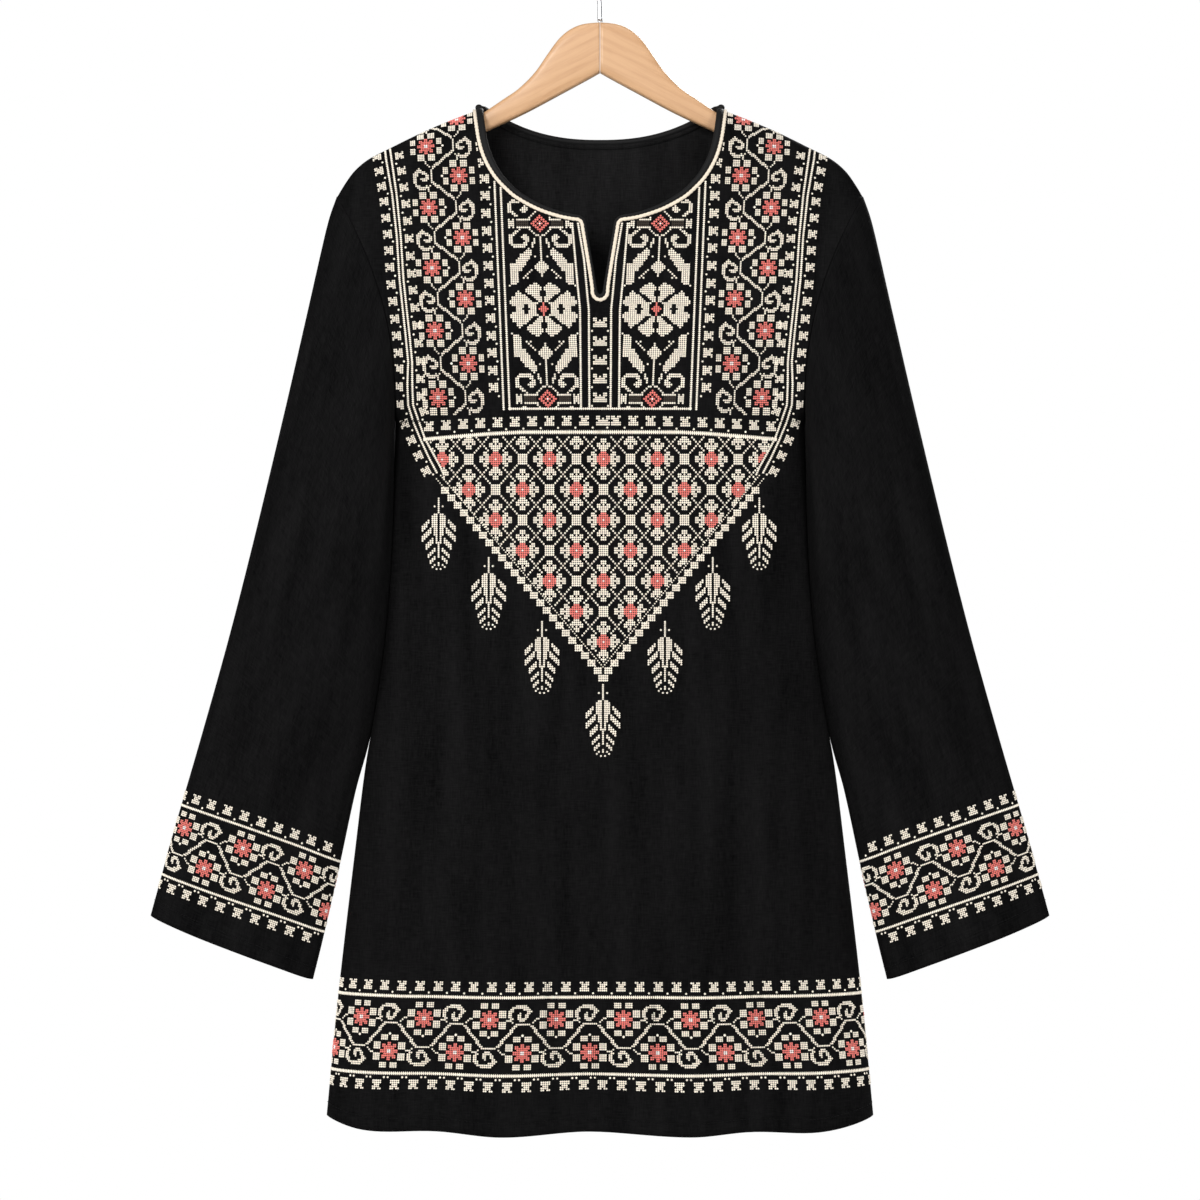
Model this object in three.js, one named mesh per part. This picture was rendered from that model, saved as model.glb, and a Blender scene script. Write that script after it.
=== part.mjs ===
import * as THREE from 'three';
import { mergeVertices } from 'three/addons/utils/BufferGeometryUtils.js';

// An embroidered tunic on a wooden hanger. Millimetres, +Z up, the front faces -Y and +X is the wearer's
// left. The origin is where the hook's bow rests on a rail. The garment and the wood are drawn in a frame
// of their own whose zero height is the crown of the wood, and that frame hangs hookDrop below the rail.
// Every cloth piece is a wall: an outer grid of points and the same grid moved in by the cloth's thickness.

// Driving sizes.
const hookDrop = 72;
const clothThickness = 1.5;
const seamGap = 0.3;
const edgeGap = 0.75;
const hemHeight = -886;
const hemSideRise = 7;
const hemCorner = 8;
const shoulderPoint = { x: 210, z: -139.2 };
const underarm = { x: 163.6, z: -320 };
const armhole = { bow: 15.6, depth: 34, gap: 0.5, bowFades: 0.45 };
const aboveArmholeSlope = 0.25;
const shoulderRound = 80;
const roundness = { middle: 2.6, side: 4 };
const neckPoint = { x: 96.8, z: -65.6 };
const backNeck = { drop: 29.6, power: 2.4, points: 6 };
const frontNeckHeight = -156.8;
const slit = { topHalf: 10.8, bottomHalf: 5.6, bottom: -220, footRise: 6.4, corner: 10, lean: 0.3 };
const cuff = { outerZ: -715, innerZ: -766, depth: 19 };
const binding = { radius: 2, thick: 1.7, clear: 2.15, sides: 8 };
const braid = { radius: 2, thick: 1.1, above: 0.9, clear: 2.5, sides: 6 };
const wood = { thickness: 12, endThickness: 7, taperFrom: 160, reach: 187, mitreGap: 0.3, round: 4 };
const hook = { wire: 2, bow: 22, stem: 14, bendFrom: 24, firstTurn: -48, lastTurn: 204, sides: 8 };
const hookSteps = 40;

// How finely the walls are drawn.
const armholeSteps = 12;
const bodyRows = 10;
const sleeveRows = 16;
const neckSteps = { slitBottom: 3, slitSide: 2, corner: 2, neckline: 9 };
const backNeckSteps = 8;

// Half width of the body at the side seams.
const bodySide = [
  { z: -886, half: 217.5 },
  { z: -774, half: 208 },
  { z: -654, half: 195 },
  { z: -594, half: 187.5 },
  { z: -542, half: 178.5 },
  { z: -494, half: 172 },
  { z: -446, half: 168 },
  { z: -390, half: 165.6 },
  { z: -320, half: 163.6 },
];

// How far the cloth stands before and behind the middle plane, along the centre of a panel.
const bodyFullness = [
  { z: -886, front: 48, back: 44 },
  { z: -600, front: 41, back: 38 },
  { z: -320, front: 36, back: 34 },
  { z: -60, front: 33, back: 28 },
];

// The shoulder line, from the middle of the neck out to the shoulder point.
const shoulderLine = [
  { x: 0, z: -31 },
  { x: 97, z: -69.6 },
  { x: 137, z: -85.6 },
  { x: 170, z: -101.6 },
  { x: 186, z: -110 },
  { x: 197, z: -119.5 },
  { x: 204.5, z: -130 },
  { x: 210, z: -139.2 },
];

// The two edges of a sleeve as it hangs.
const sleeveOuterEdge = [
  { z: -715, x: 359 },
  { z: -653.6, x: 342.4 },
  { z: -573.6, x: 319.2 },
  { z: -493.6, x: 296.8 },
  { z: -413.6, x: 276.4 },
  { z: -313.6, x: 252.4 },
  { z: -233.6, x: 234 },
  { z: -173.6, x: 220.4 },
  { z: -155, x: 215.6 },
  { z: -139.2, x: 210 },
];
const sleeveInnerEdge = [
  { z: -766, x: 229 },
  { z: -733.6, x: 221.2 },
  { z: -673.6, x: 207.6 },
  { z: -613.6, x: 195.4 },
  { z: -577.6, x: 188.2 },
  { z: -541.6, x: 182.4 },
  { z: -493.6, x: 175.6 },
  { z: -445.6, x: 171.6 },
  { z: -389.6, x: 169 },
  { z: -320, x: 163.6 },
];

// Folds that fall to the hem. at is a share of the half width, from -1 to 1, and each fades out at top.
const frontFolds = [
  { at: -0.8, width: 0.13, out: 5, top: -640 },
  { at: -0.36, width: 0.2, out: 9, top: -560 },
  { at: -0.04, width: 0.14, out: -5, top: -640 },
  { at: 0.36, width: 0.22, out: 8, top: -600 },
  { at: 0.79, width: 0.13, out: 6, top: -700 },
];
const backFolds = [
  { at: -0.62, width: 0.18, out: 8, top: -560 },
  { at: -0.12, width: 0.2, out: -5, top: -620 },
  { at: 0.22, width: 0.2, out: 8, top: -600 },
  { at: 0.7, width: 0.15, out: 6, top: -680 },
];
// Folds along a sleeve. turn is the place round the sleeve, from its outer edge by way of the front.
const sleeveFolds = [
  { turn: 62, width: 26, out: 3.5, top: 0.3 },
  { turn: 128, width: 22, out: -3, top: 0.15 },
  { turn: 245, width: 28, out: 3.5, top: 0.35 },
];

// The front neck edge, from beside the slit up to the neck point.
const frontNeckline = [
  { x: 32, z: -155.4 },
  { x: 48, z: -150.8 },
  { x: 64, z: -142 },
  { x: 73, z: -134 },
  { x: 81, z: -124 },
  { x: 87, z: -111 },
  { x: 91, z: -97.6 },
  { x: 94, z: -82 },
  neckPoint,
];

// The wooden arm: its upper and lower edges, from the mitre to the rounded end.
const armUpper = [
  { x: 0, z: 0 },
  { x: 14, z: -1.6 },
  { x: 24, z: -5.8 },
  { x: 33, z: -13.4 },
  { x: 42, z: -25.6 },
  { x: 52, z: -40 },
  { x: 65, z: -53 },
  { x: 78, z: -62 },
  { x: 88, z: -68.8 },
  { x: 97, z: -74.4 },
  { x: 137, z: -91 },
  { x: 165, z: -103.4 },
  { x: 180, z: -112.5 },
  { x: 187, z: -119 },
];
const armLower = [
  { x: 0, z: -40.5 },
  { x: 9, z: -45.6 },
  { x: 30, z: -57 },
  { x: 60, z: -73 },
  { x: 90, z: -87 },
  { x: 140, z: -110 },
  { x: 170, z: -124.5 },
  { x: 181, z: -128.6 },
  { x: 187, z: -128 },
];
const armStations = [0, 7, 14, 20, 26, 33, 42, 52, 65, 78, 97, 117, 137, 152, 165, 175, 182, 187];

const colours = {
  cloth: new THREE.MeshStandardMaterial({ color: 0x1d1d20, roughness: 0.95, metalness: 0 }),
  binding: new THREE.MeshStandardMaterial({ color: 0x17171a, roughness: 0.9, metalness: 0 }),
  braid: new THREE.MeshStandardMaterial({ color: 0xebdcc8, roughness: 0.85, metalness: 0 }),
  wood: new THREE.MeshStandardMaterial({ color: 0xe8be94, roughness: 0.5, metalness: 0 }),
  steel: new THREE.MeshStandardMaterial({ color: 0xc4c6c9, roughness: 0.25, metalness: 1 }),
};

// Smooth value of a table's column: a cubic between rows, level with the rows on either side of each.
function valueAt(table, key, column, at) {
  const rows = [...table].sort((a, b) => a[key] - b[key]);
  const clamped = Math.min(Math.max(at, rows[0][key]), rows[rows.length - 1][key]);
  let i = 0;
  while (i < rows.length - 2 && rows[i + 1][key] < clamped) i += 1;
  const slope = (k) => {
    const before = rows[Math.max(k - 1, 0)];
    const after = rows[Math.min(k + 1, rows.length - 1)];
    return (after[column] - before[column]) / (after[key] - before[key]);
  };
  const span = rows[i + 1][key] - rows[i][key];
  const s = (clamped - rows[i][key]) / span;
  const [h0, h1] = [slope(i) * span, slope(i + 1) * span];
  const [a, b] = [rows[i][column], rows[i + 1][column]];
  return (2 * a - 2 * b + h0 + h1) * s ** 3 + (3 * b - 3 * a - 2 * h0 - h1) * s ** 2 + h0 * s + a;
}

const smoothStep = (s) => THREE.MathUtils.smoothstep(s, 0, 1);

// Place on the armhole: 1 at the shoulder point, 0 halfway, -1 at the underarm.
function armholePlace(z) {
  const middle = (shoulderPoint.z + underarm.z) / 2;
  return (z - middle) / (shoulderPoint.z - middle);
}

// Half width of a panel: the side seam, then the armhole, then lines that carry on above it.
function panelHalf(z) {
  const place = armholePlace(z);
  if (place < -1) return valueAt(bodySide, 'z', 'half', z);
  if (place > 1) return shoulderPoint.x + aboveArmholeSlope * (z - shoulderPoint.z);
  const middle = (shoulderPoint.x + underarm.x) / 2;
  return middle + (shoulderPoint.x - middle) * place - armhole.bow * (1 - place * place);
}

const shoulderHeight = (x) => valueAt(shoulderLine, 'x', 'z', Math.abs(x));

// How far out the cloth stands at x, z: the panel's depth in the middle, which closes over the shoulder in
// a quarter round and has the hem's folds, runs as on an oval into the armhole's own depth at the side.
function panelDepth(x, z, face) {
  const share = Math.min(Math.abs(x) / panelHalf(z), 1);
  const below = Math.max(shoulderHeight(x) - z, 0);
  const closing = Math.sqrt(1 - (1 - Math.min(below / shoulderRound, 1)) ** 2);
  const atSide = armhole.depth * Math.sqrt(Math.max(1 - armholePlace(z) ** 2, 0));
  let out = valueAt(bodyFullness, 'z', face, z) * closing;
  for (const fold of face === 'front' ? frontFolds : backFolds) {
    const across = (x / panelHalf(z) - fold.at) / fold.width;
    out += fold.out * Math.exp(-across * across) * smoothStep((fold.top - z) / (fold.top - hemHeight));
  }
  return Math.sqrt(out * out * (1 - share ** roundness.middle) + atSide * atSide * share ** roundness.side);
}

// A closed wall between two grids of points, rows by columns. A tube's last column joins its first.
function wallGeometry(outer, inner, tube) {
  const rows = outer.length;
  const columns = outer[0].length;
  const positions = [...outer.flat(), ...inner.flat()].flatMap((p) => [p.x, p.y, p.z]);
  const at = (side, i, j) => side * rows * columns + i * columns + (j % columns);
  const faces = [];
  const quad = (a, b, c, d) => faces.push(a, b, c, a, c, d);
  const spans = tube ? columns : columns - 1;
  for (let j = 0; j < spans; j += 1) {
    for (let i = 0; i < rows - 1; i += 1) {
      quad(at(0, i, j), at(0, i, j + 1), at(0, i + 1, j + 1), at(0, i + 1, j));
      quad(at(1, i, j), at(1, i + 1, j), at(1, i + 1, j + 1), at(1, i, j + 1));
    }
    quad(at(1, 0, j), at(1, 0, j + 1), at(0, 0, j + 1), at(0, 0, j));
    quad(at(0, rows - 1, j), at(0, rows - 1, j + 1), at(1, rows - 1, j + 1), at(1, rows - 1, j));
  }
  if (!tube) {
    for (let i = 0; i < rows - 1; i += 1) {
      quad(at(1, i, 0), at(0, i, 0), at(0, i + 1, 0), at(1, i + 1, 0));
      const last = columns - 1;
      quad(at(0, i, last), at(1, i, last), at(1, i + 1, last), at(0, i + 1, last));
    }
  }
  return shapeFrom(positions, faces);
}

function shapeFrom(positions, faces) {
  const geometry = new THREE.BufferGeometry();
  geometry.setAttribute('position', new THREE.Float32BufferAttribute(positions, 3));
  geometry.setIndex(faces);
  geometry.computeVertexNormals();
  return geometry;
}

// The outward direction of a grid at one point, from the points on either side of it.
function outwardAt(grid, i, j, tube) {
  const columns = grid[0].length;
  const left = tube ? (j + columns - 1) % columns : Math.max(j - 1, 0);
  const right = tube ? (j + 1) % columns : Math.min(j + 1, columns - 1);
  const across = grid[i][right].clone().sub(grid[i][left]);
  const up = grid[Math.min(i + 1, grid.length - 1)][j].clone().sub(grid[Math.max(i - 1, 0)][j]);
  return across.cross(up).normalize();
}

// Inward direction along the armhole, square to the seam and within the surface that it lies in.
function armholeInward(turn, side) {
  const place = Math.cos(turn);
  const middle = (shoulderPoint.x - underarm.x) / 2;
  const halfHeight = (shoulderPoint.z - underarm.z) / 2;
  const lean = new THREE.Vector3(side * (middle + 2 * armhole.bow * place), 0, halfHeight).normalize();
  const rise = halfHeight * Math.sin(turn);
  const outward = armhole.depth * Math.cos(turn);
  const inward = lean.multiplyScalar(-outward);
  inward.y = rise;
  return inward.normalize();
}

// Half of the neck edge of the front, from the foot of the slit to the neck point, with its outward
// directions into the cloth. Each stretch has its own number of steps.
function frontNeckHalf() {
  const { topHalf, bottomHalf, footRise, corner } = slit;
  const foot = slit.bottom + footRise;
  const bottom = new THREE.EllipseCurve(0, foot, bottomHalf, footRise, -Math.PI / 2, 0);
  const sideTop = new THREE.Vector2(topHalf - slit.lean, frontNeckHeight - corner);
  const side = new THREE.LineCurve(new THREE.Vector2(bottomHalf, foot), sideTop);
  const cornerEnd = new THREE.Vector2(topHalf + corner, frontNeckHeight);
  const bend = new THREE.QuadraticBezierCurve(sideTop, new THREE.Vector2(topHalf, frontNeckHeight), cornerEnd);
  const rim = frontNeckline.map((row) => new THREE.Vector2(row.x, row.z));
  const line = new THREE.SplineCurve([cornerEnd, ...rim]);
  const samples = sampled([bottom, side, bend, line], Object.values(neckSteps));
  const bendStart = neckSteps.slitBottom + neckSteps.slitSide;
  samples[bendStart].besideCorner = true;
  samples[bendStart + neckSteps.corner].besideCorner = true;
  return samples;
}

// Half of the back neck edge, from the centre to the neck point.
function backNeckHalf() {
  const points = [];
  for (let k = 0; k <= backNeck.points; k += 1) {
    const share = k / backNeck.points;
    const dip = backNeck.drop * (1 - share ** backNeck.power);
    points.push(new THREE.Vector2(neckPoint.x * share, neckPoint.z - dip));
  }
  return sampled([new THREE.SplineCurve(points)], [backNeckSteps]);
}

// Points along a run of curves, each with the direction square to it that leads into the cloth. They
// stand closer together towards the neck point, where the cloth turns over the shoulder.
function sampled(curves, steps) {
  const samples = [];
  curves.forEach((curve, index) => {
    for (let k = index ? 1 : 0; k <= steps[index]; k += 1) {
      const even = k / steps[index];
      const share = index === curves.length - 1 ? Math.sin((even * Math.PI) / 2) : even;
      const point = curve.getPointAt(share);
      const along = curve.getTangentAt(share);
      samples.push({ point, into: new THREE.Vector2(along.y, -along.x) });
    }
  });
  samples[0].into.set(0, -1);
  return samples;
}

// The samples moved into the cloth by a distance, kept below the shoulder line.
function offsetInto(samples, distance, cap) {
  return samples.map(({ point, into }) => {
    const moved = point.clone().addScaledVector(into, distance);
    if (cap) moved.y = Math.min(moved.y, shoulderHeight(moved.x));
    return Object.assign(moved, { into });
  });
}

// The top of each column of a panel, from its centre line to the shoulder point.
function panelTops(samples) {
  const tops = offsetInto(samples, 2 * binding.radius + edgeGap, true);
  const neckEnd = tops[tops.length - 1];
  neckEnd.y = shoulderHeight(neckEnd.x);
  neckEnd.onShoulder = true;
  const shoulderShares = [0.2, 0.4, 0.6, 0.77, 0.9, 1];
  for (const share of shoulderShares) {
    const x = THREE.MathUtils.lerp(neckEnd.x, shoulderPoint.x, share);
    const top = new THREE.Vector2(x, share === 1 ? shoulderPoint.z : shoulderHeight(x));
    tops.push(Object.assign(top, { onShoulder: true }));
  }
  return tops;
}

// A front or back panel, from side seam to side seam and from hem to shoulder.
function panelGeometry(face) {
  const facing = face === 'front' ? -1 : 1;
  const tops = panelTops(face === 'front' ? frontNeckHalf() : backNeckHalf());
  const columns = [];
  for (let j = tops.length - 1; j > 0; j -= 1) columns.push({ side: -1, top: tops[j] });
  for (const top of tops) columns.push({ side: 1, top });
  if (face === 'back') columns.reverse();
  const heights = (column) => {
    const share = column.top.x / panelHalf(column.top.y);
    const hem = hemHeight + hemSideRise * share ** hemCorner;
    const list = [];
    for (let i = 0; i < bodyRows; i += 1) list.push(THREE.MathUtils.lerp(hem, underarm.z, i / bodyRows));
    for (let i = 0; i <= armholeSteps; i += 1) {
      const rise = (1 - Math.cos((Math.PI * i) / armholeSteps)) / 2;
      list.push(THREE.MathUtils.lerp(underarm.z, column.top.y, rise));
    }
    return list.map((z) => ({ x: column.side * share * panelHalf(z), z }));
  };
  const paths = columns.map(heights);
  const rows = paths[0].length;
  const outer = [];
  for (let i = 0; i < rows; i += 1) {
    outer.push(paths.map((path) => {
      const { x, z } = path[i];
      return new THREE.Vector3(x, facing * (panelDepth(x, z, face) + seamGap / 2), z);
    }));
  }
  const last = columns.length - 1;
  const inner = outer.map((row, i) => row.map((point, j) => {
    const inward = outwardAt(outer, i, j, false).negate();
    const atSide = j === 0 || j === last;
    if (atSide && i > bodyRows) {
      const turn = Math.PI * (1 - (i - bodyRows) / armholeSteps);
      const along = armholeInward(turn, columns[j].side);
      inward.set(along.x, -facing * along.y, along.z);
    } else if (atSide && i === bodyRows) {
      inward.set(-columns[j].side, 0, 1).normalize();
    } else if (atSide) {
      inward.set(inward.x, 0, inward.z).normalize();
    }
    const { onShoulder, into } = columns[j].top;
    if (i === rows - 1 && onShoulder) {
      inward.set(inward.x, 0, inward.z).normalize();
    } else if (i === rows - 1) {
      const edge = new THREE.Vector3(columns[j].side * into.x, 0, into.y);
      inward.addScaledVector(edge, -inward.dot(edge)).normalize();
    }
    const moved = point.clone().addScaledVector(inward, clothThickness);
    moved.y = facing * Math.max(facing * moved.y, seamGap / 2);
    return moved;
  }));
  return wallGeometry(outer, inner, false);
}

// A sleeve: rings from the cuff up to the armhole. side is 1 on the wearer's left and -1 on the right.
function sleeveGeometry(side) {
  const around = 2 * armholeSteps;
  const outer = [];
  for (let i = 0; i <= sleeveRows; i += 1) {
    const down = 1 - i / sleeveRows;
    const outerZ = THREE.MathUtils.lerp(shoulderPoint.z, cuff.outerZ, down);
    const innerZ = THREE.MathUtils.lerp(underarm.z, cuff.innerZ, down);
    const outerX = valueAt(sleeveOuterEdge, 'z', 'x', outerZ);
    const innerX = valueAt(sleeveInnerEdge, 'z', 'x', innerZ);
    const bow = armhole.bow * (1 - smoothStep(down / armhole.bowFades));
    const depth = THREE.MathUtils.lerp(armhole.depth, cuff.depth, smoothStep(down));
    const ring = [];
    for (let j = 0; j < around; j += 1) {
      const turn = (2 * Math.PI * j) / around;
      let bulge = depth;
      for (const fold of sleeveFolds) {
        const across = (THREE.MathUtils.radToDeg(turn) - fold.turn) / fold.width;
        bulge += fold.out * Math.exp(-across * across) * smoothStep((down - fold.top) / (1 - fold.top));
      }
      const [cos, sin] = [Math.cos(turn), Math.sin(turn)];
      const x = (outerX + innerX) / 2 + ((outerX - innerX) / 2) * cos - bow * sin * sin + armhole.gap;
      const z = (outerZ + innerZ) / 2 + ((outerZ - innerZ) / 2) * cos;
      ring.push(new THREE.Vector3(side * x, -bulge * sin, z));
    }
    if (side > 0) ring.reverse();
    outer.push(ring);
  }
  const inner = outer.map((ring, i) => ring.map((point, j) => {
    const inward = outwardAt(outer, i, j, true).negate();
    if (i === sleeveRows) {
      const place = side > 0 ? around - 1 - j : j;
      const turn = (2 * Math.PI * place) / around;
      const along = armholeInward(turn, side);
      inward.copy(along);
    }
    return point.clone().addScaledVector(inward, clothThickness);
  }));
  return wallGeometry(outer, inner, true);
}

// A closed strand along points. across gives, at each point, the first of the section's two directions.
function strandGeometry(points, across, radius, thick, sides) {
  const positions = [];
  const faces = [];
  const last = points.length - 1;
  points.forEach((point, k) => {
    const along = points[Math.min(k + 1, last)].clone().sub(points[Math.max(k - 1, 0)]).normalize();
    const first = across[k].clone().addScaledVector(along, -across[k].dot(along)).normalize();
    const second = along.clone().cross(first);
    for (let s = 0; s < sides; s += 1) {
      const turn = (2 * Math.PI * (s + 0.5)) / sides;
      const rim = point.clone().addScaledVector(first, radius * Math.cos(turn));
      rim.addScaledVector(second, thick * Math.sin(turn));
      positions.push(rim.x, rim.y, rim.z);
    }
  });
  for (let k = 0; k < last; k += 1) {
    for (let s = 0; s < sides; s += 1) {
      const [a, b] = [k * sides + s, k * sides + ((s + 1) % sides)];
      faces.push(a, b, b + sides, a, b + sides, a + sides);
    }
  }
  for (let s = 1; s < sides - 1; s += 1) {
    faces.push(0, s + 1, s);
    faces.push(last * sides, last * sides + s, last * sides + s + 1);
  }
  return shapeFrom(positions, faces);
}

// Outward direction of a panel at x, z, from how its depth changes over a short step either way.
function panelOutward(x, z, face) {
  const step = 0.5;
  const facing = face === 'front' ? -1 : 1;
  const acrossSlope = (panelDepth(x + step, z, face) - panelDepth(x - step, z, face)) / (2 * step);
  const upSlope = (panelDepth(x, z + step, face) - panelDepth(x, z - step, face)) / (2 * step);
  return new THREE.Vector3(-acrossSlope, facing, -upSlope).normalize();
}

// A strand beside the neck edge: distance is how far into the cloth its middle runs, lift how far its
// middle stands out from the cloth's face, and leastDepth keeps it clear of the other half at the neck.
function neckStrand(samples, face, distance, lift, leastDepth, size) {
  const facing = face === 'front' ? -1 : 1;
  const half = offsetInto(samples, distance, lift > 0).map((flat) => {
    const point = new THREE.Vector3(flat.x, facing * panelDepth(flat.x, flat.y, face), flat.y);
    point.addScaledVector(panelOutward(flat.x, flat.y, face), lift);
    point.y = facing * Math.max(Math.abs(point.y), leastDepth);
    return { point, across: new THREE.Vector3(flat.into.x, 0, flat.into.y) };
  });
  const mirrored = half.slice(1).reverse().map(({ point, across }) => ({
    point: point.clone().setX(-point.x),
    across: across.clone().setX(-across.x),
  }));
  const whole = [...mirrored, ...half];
  const points = whole.map((sample) => sample.point);
  const across = whole.map((sample) => sample.across);
  return strandGeometry(points, across, size.radius, size.thick, size.sides);
}

// One arm of the hanger: upright sections with rounded corners, from the mitre to the end.
function armGeometry(side) {
  const sections = armStations.map((x) => {
    const top = valueAt(armUpper, 'x', 'z', x);
    const foot = valueAt(armLower, 'x', 'z', x);
    const taper = smoothStep((x - wood.taperFrom) / (wood.reach - wood.taperFrom));
    const half = THREE.MathUtils.lerp(wood.thickness, wood.endThickness, taper) / 2;
    const round = Math.min(wood.round, 0.8 * half, 0.3 * (top - foot));
    const place = side * (x + (x === 0 ? wood.mitreGap / 2 : 0));
    const ring = [];
    for (const [y, z, start] of [[1, 1, 0], [-1, 1, 90], [-1, -1, 180], [1, -1, 270]]) {
      for (const extra of [0, 45, 90]) {
        const turn = THREE.MathUtils.degToRad(start + extra);
        const centreY = y * (half - round);
        const centreZ = z > 0 ? top - round : foot + round;
        ring.push(new THREE.Vector3(place, centreY + round * Math.cos(turn), centreZ + round * Math.sin(turn)));
      }
    }
    return side > 0 ? ring : ring.reverse();
  });
  const sides = sections[0].length;
  const faces = [];
  for (let k = 0; k < sections.length - 1; k += 1) {
    for (let s = 0; s < sides; s += 1) {
      const [a, b] = [k * sides + s, k * sides + ((s + 1) % sides)];
      faces.push(a, b, b + sides, a, b + sides, a + sides);
    }
  }
  const end = (sections.length - 1) * sides;
  for (let s = 1; s < sides - 1; s += 1) {
    faces.push(0, s + 1, s);
    faces.push(end, end + s, end + s + 1);
  }
  return shapeFrom(sections.flat().flatMap((p) => [p.x, p.y, p.z]), faces);
}

// The steel hook: a straight stem from the crown of the wood, then a round bow with an open end.
function hookGeometry() {
  const bowHeight = hookDrop - hook.bow + hook.wire;
  const route = [seamGap, hook.stem, hook.bendFrom].map((z) => new THREE.Vector3(0, 0, z));
  for (let degrees = hook.firstTurn; degrees <= hook.lastTurn; degrees += 21) {
    const turn = THREE.MathUtils.degToRad(degrees);
    route.push(new THREE.Vector3(hook.bow * Math.cos(turn), 0, bowHeight + hook.bow * Math.sin(turn)));
  }
  const path = new THREE.CatmullRomCurve3(route);
  const section = new THREE.Shape();
  for (let s = 0; s < hook.sides; s += 1) {
    const turn = (2 * Math.PI * s) / hook.sides;
    const [x, y] = [hook.wire * Math.cos(turn), hook.wire * Math.sin(turn)];
    if (s) section.lineTo(x, y);
    else section.moveTo(x, y);
  }
  const settings = { extrudePath: path, steps: hookSteps, bevelEnabled: false };
  const geometry = new THREE.ExtrudeGeometry(section, settings);
  geometry.deleteAttribute('normal');
  geometry.deleteAttribute('uv');
  return mergeVertices(geometry);
}

const group = new THREE.Group();
const hung = new THREE.Group();
hung.position.z = -hookDrop;
group.add(hung);

function add(name, geometry, material) {
  const mesh = new THREE.Mesh(geometry, material);
  mesh.name = name;
  hung.add(mesh);
}

add('tunic_front', panelGeometry('front'), colours.cloth);
add('tunic_back', panelGeometry('back'), colours.cloth);
add('sleeve_left', sleeveGeometry(1), colours.cloth);
add('sleeve_right', sleeveGeometry(-1), colours.cloth);

const middleOfWall = -clothThickness / 2;
const besideEdge = binding.radius;
const [frontEdge, backEdge] = [frontNeckHalf(), backNeckHalf()];
const frontRoll = neckStrand(frontEdge, 'front', besideEdge, middleOfWall, binding.clear, binding);
const backRoll = neckStrand(backEdge, 'back', besideEdge, middleOfWall, binding.clear, binding);
add('neck_binding_front', frontRoll, colours.binding);
add('neck_binding_back', backRoll, colours.binding);
const braidPlace = 2 * binding.radius + edgeGap + braid.radius;
const braidLift = braid.thick + braid.above;
const mitred = frontEdge.filter((sample) => !sample.besideCorner);
const cord = neckStrand(mitred, 'front', braidPlace, braidLift, braid.clear, braid);
add('neck_braid', cord, colours.braid);

add('hanger_arm_left', armGeometry(1), colours.wood);
add('hanger_arm_right', armGeometry(-1), colours.wood);
add('hanger_hook', hookGeometry(), colours.steel);

export default group;
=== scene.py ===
import math

import bpy
import numpy as np
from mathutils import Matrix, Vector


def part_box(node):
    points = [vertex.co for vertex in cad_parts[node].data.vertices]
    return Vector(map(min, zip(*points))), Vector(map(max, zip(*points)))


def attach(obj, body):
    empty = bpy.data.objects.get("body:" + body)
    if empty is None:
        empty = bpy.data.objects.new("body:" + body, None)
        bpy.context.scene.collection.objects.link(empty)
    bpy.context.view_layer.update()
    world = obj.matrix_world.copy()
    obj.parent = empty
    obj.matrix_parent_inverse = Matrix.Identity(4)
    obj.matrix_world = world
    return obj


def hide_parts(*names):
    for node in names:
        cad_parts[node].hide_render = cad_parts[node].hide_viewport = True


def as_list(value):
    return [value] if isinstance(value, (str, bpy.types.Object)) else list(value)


# An embroidered tunic on a wooden hanger. Everything here is worked out in millimetres in the garment's own
# frame, whose zero height is the crown of the wood. setPlace() turns that into metres in the row's frame.

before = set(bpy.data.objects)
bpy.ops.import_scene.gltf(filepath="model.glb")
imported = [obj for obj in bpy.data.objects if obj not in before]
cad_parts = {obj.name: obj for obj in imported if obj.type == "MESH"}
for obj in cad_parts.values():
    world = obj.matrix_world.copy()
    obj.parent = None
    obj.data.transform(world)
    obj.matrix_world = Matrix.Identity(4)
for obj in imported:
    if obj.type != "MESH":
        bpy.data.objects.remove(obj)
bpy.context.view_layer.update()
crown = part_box("hanger_arm_left")[1][2] * 1000
print("frame loaded, crown of the wood at", round(crown, 1), "mm")

front, back = "front", "back"
facing = {front: -1, back: 1}

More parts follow.
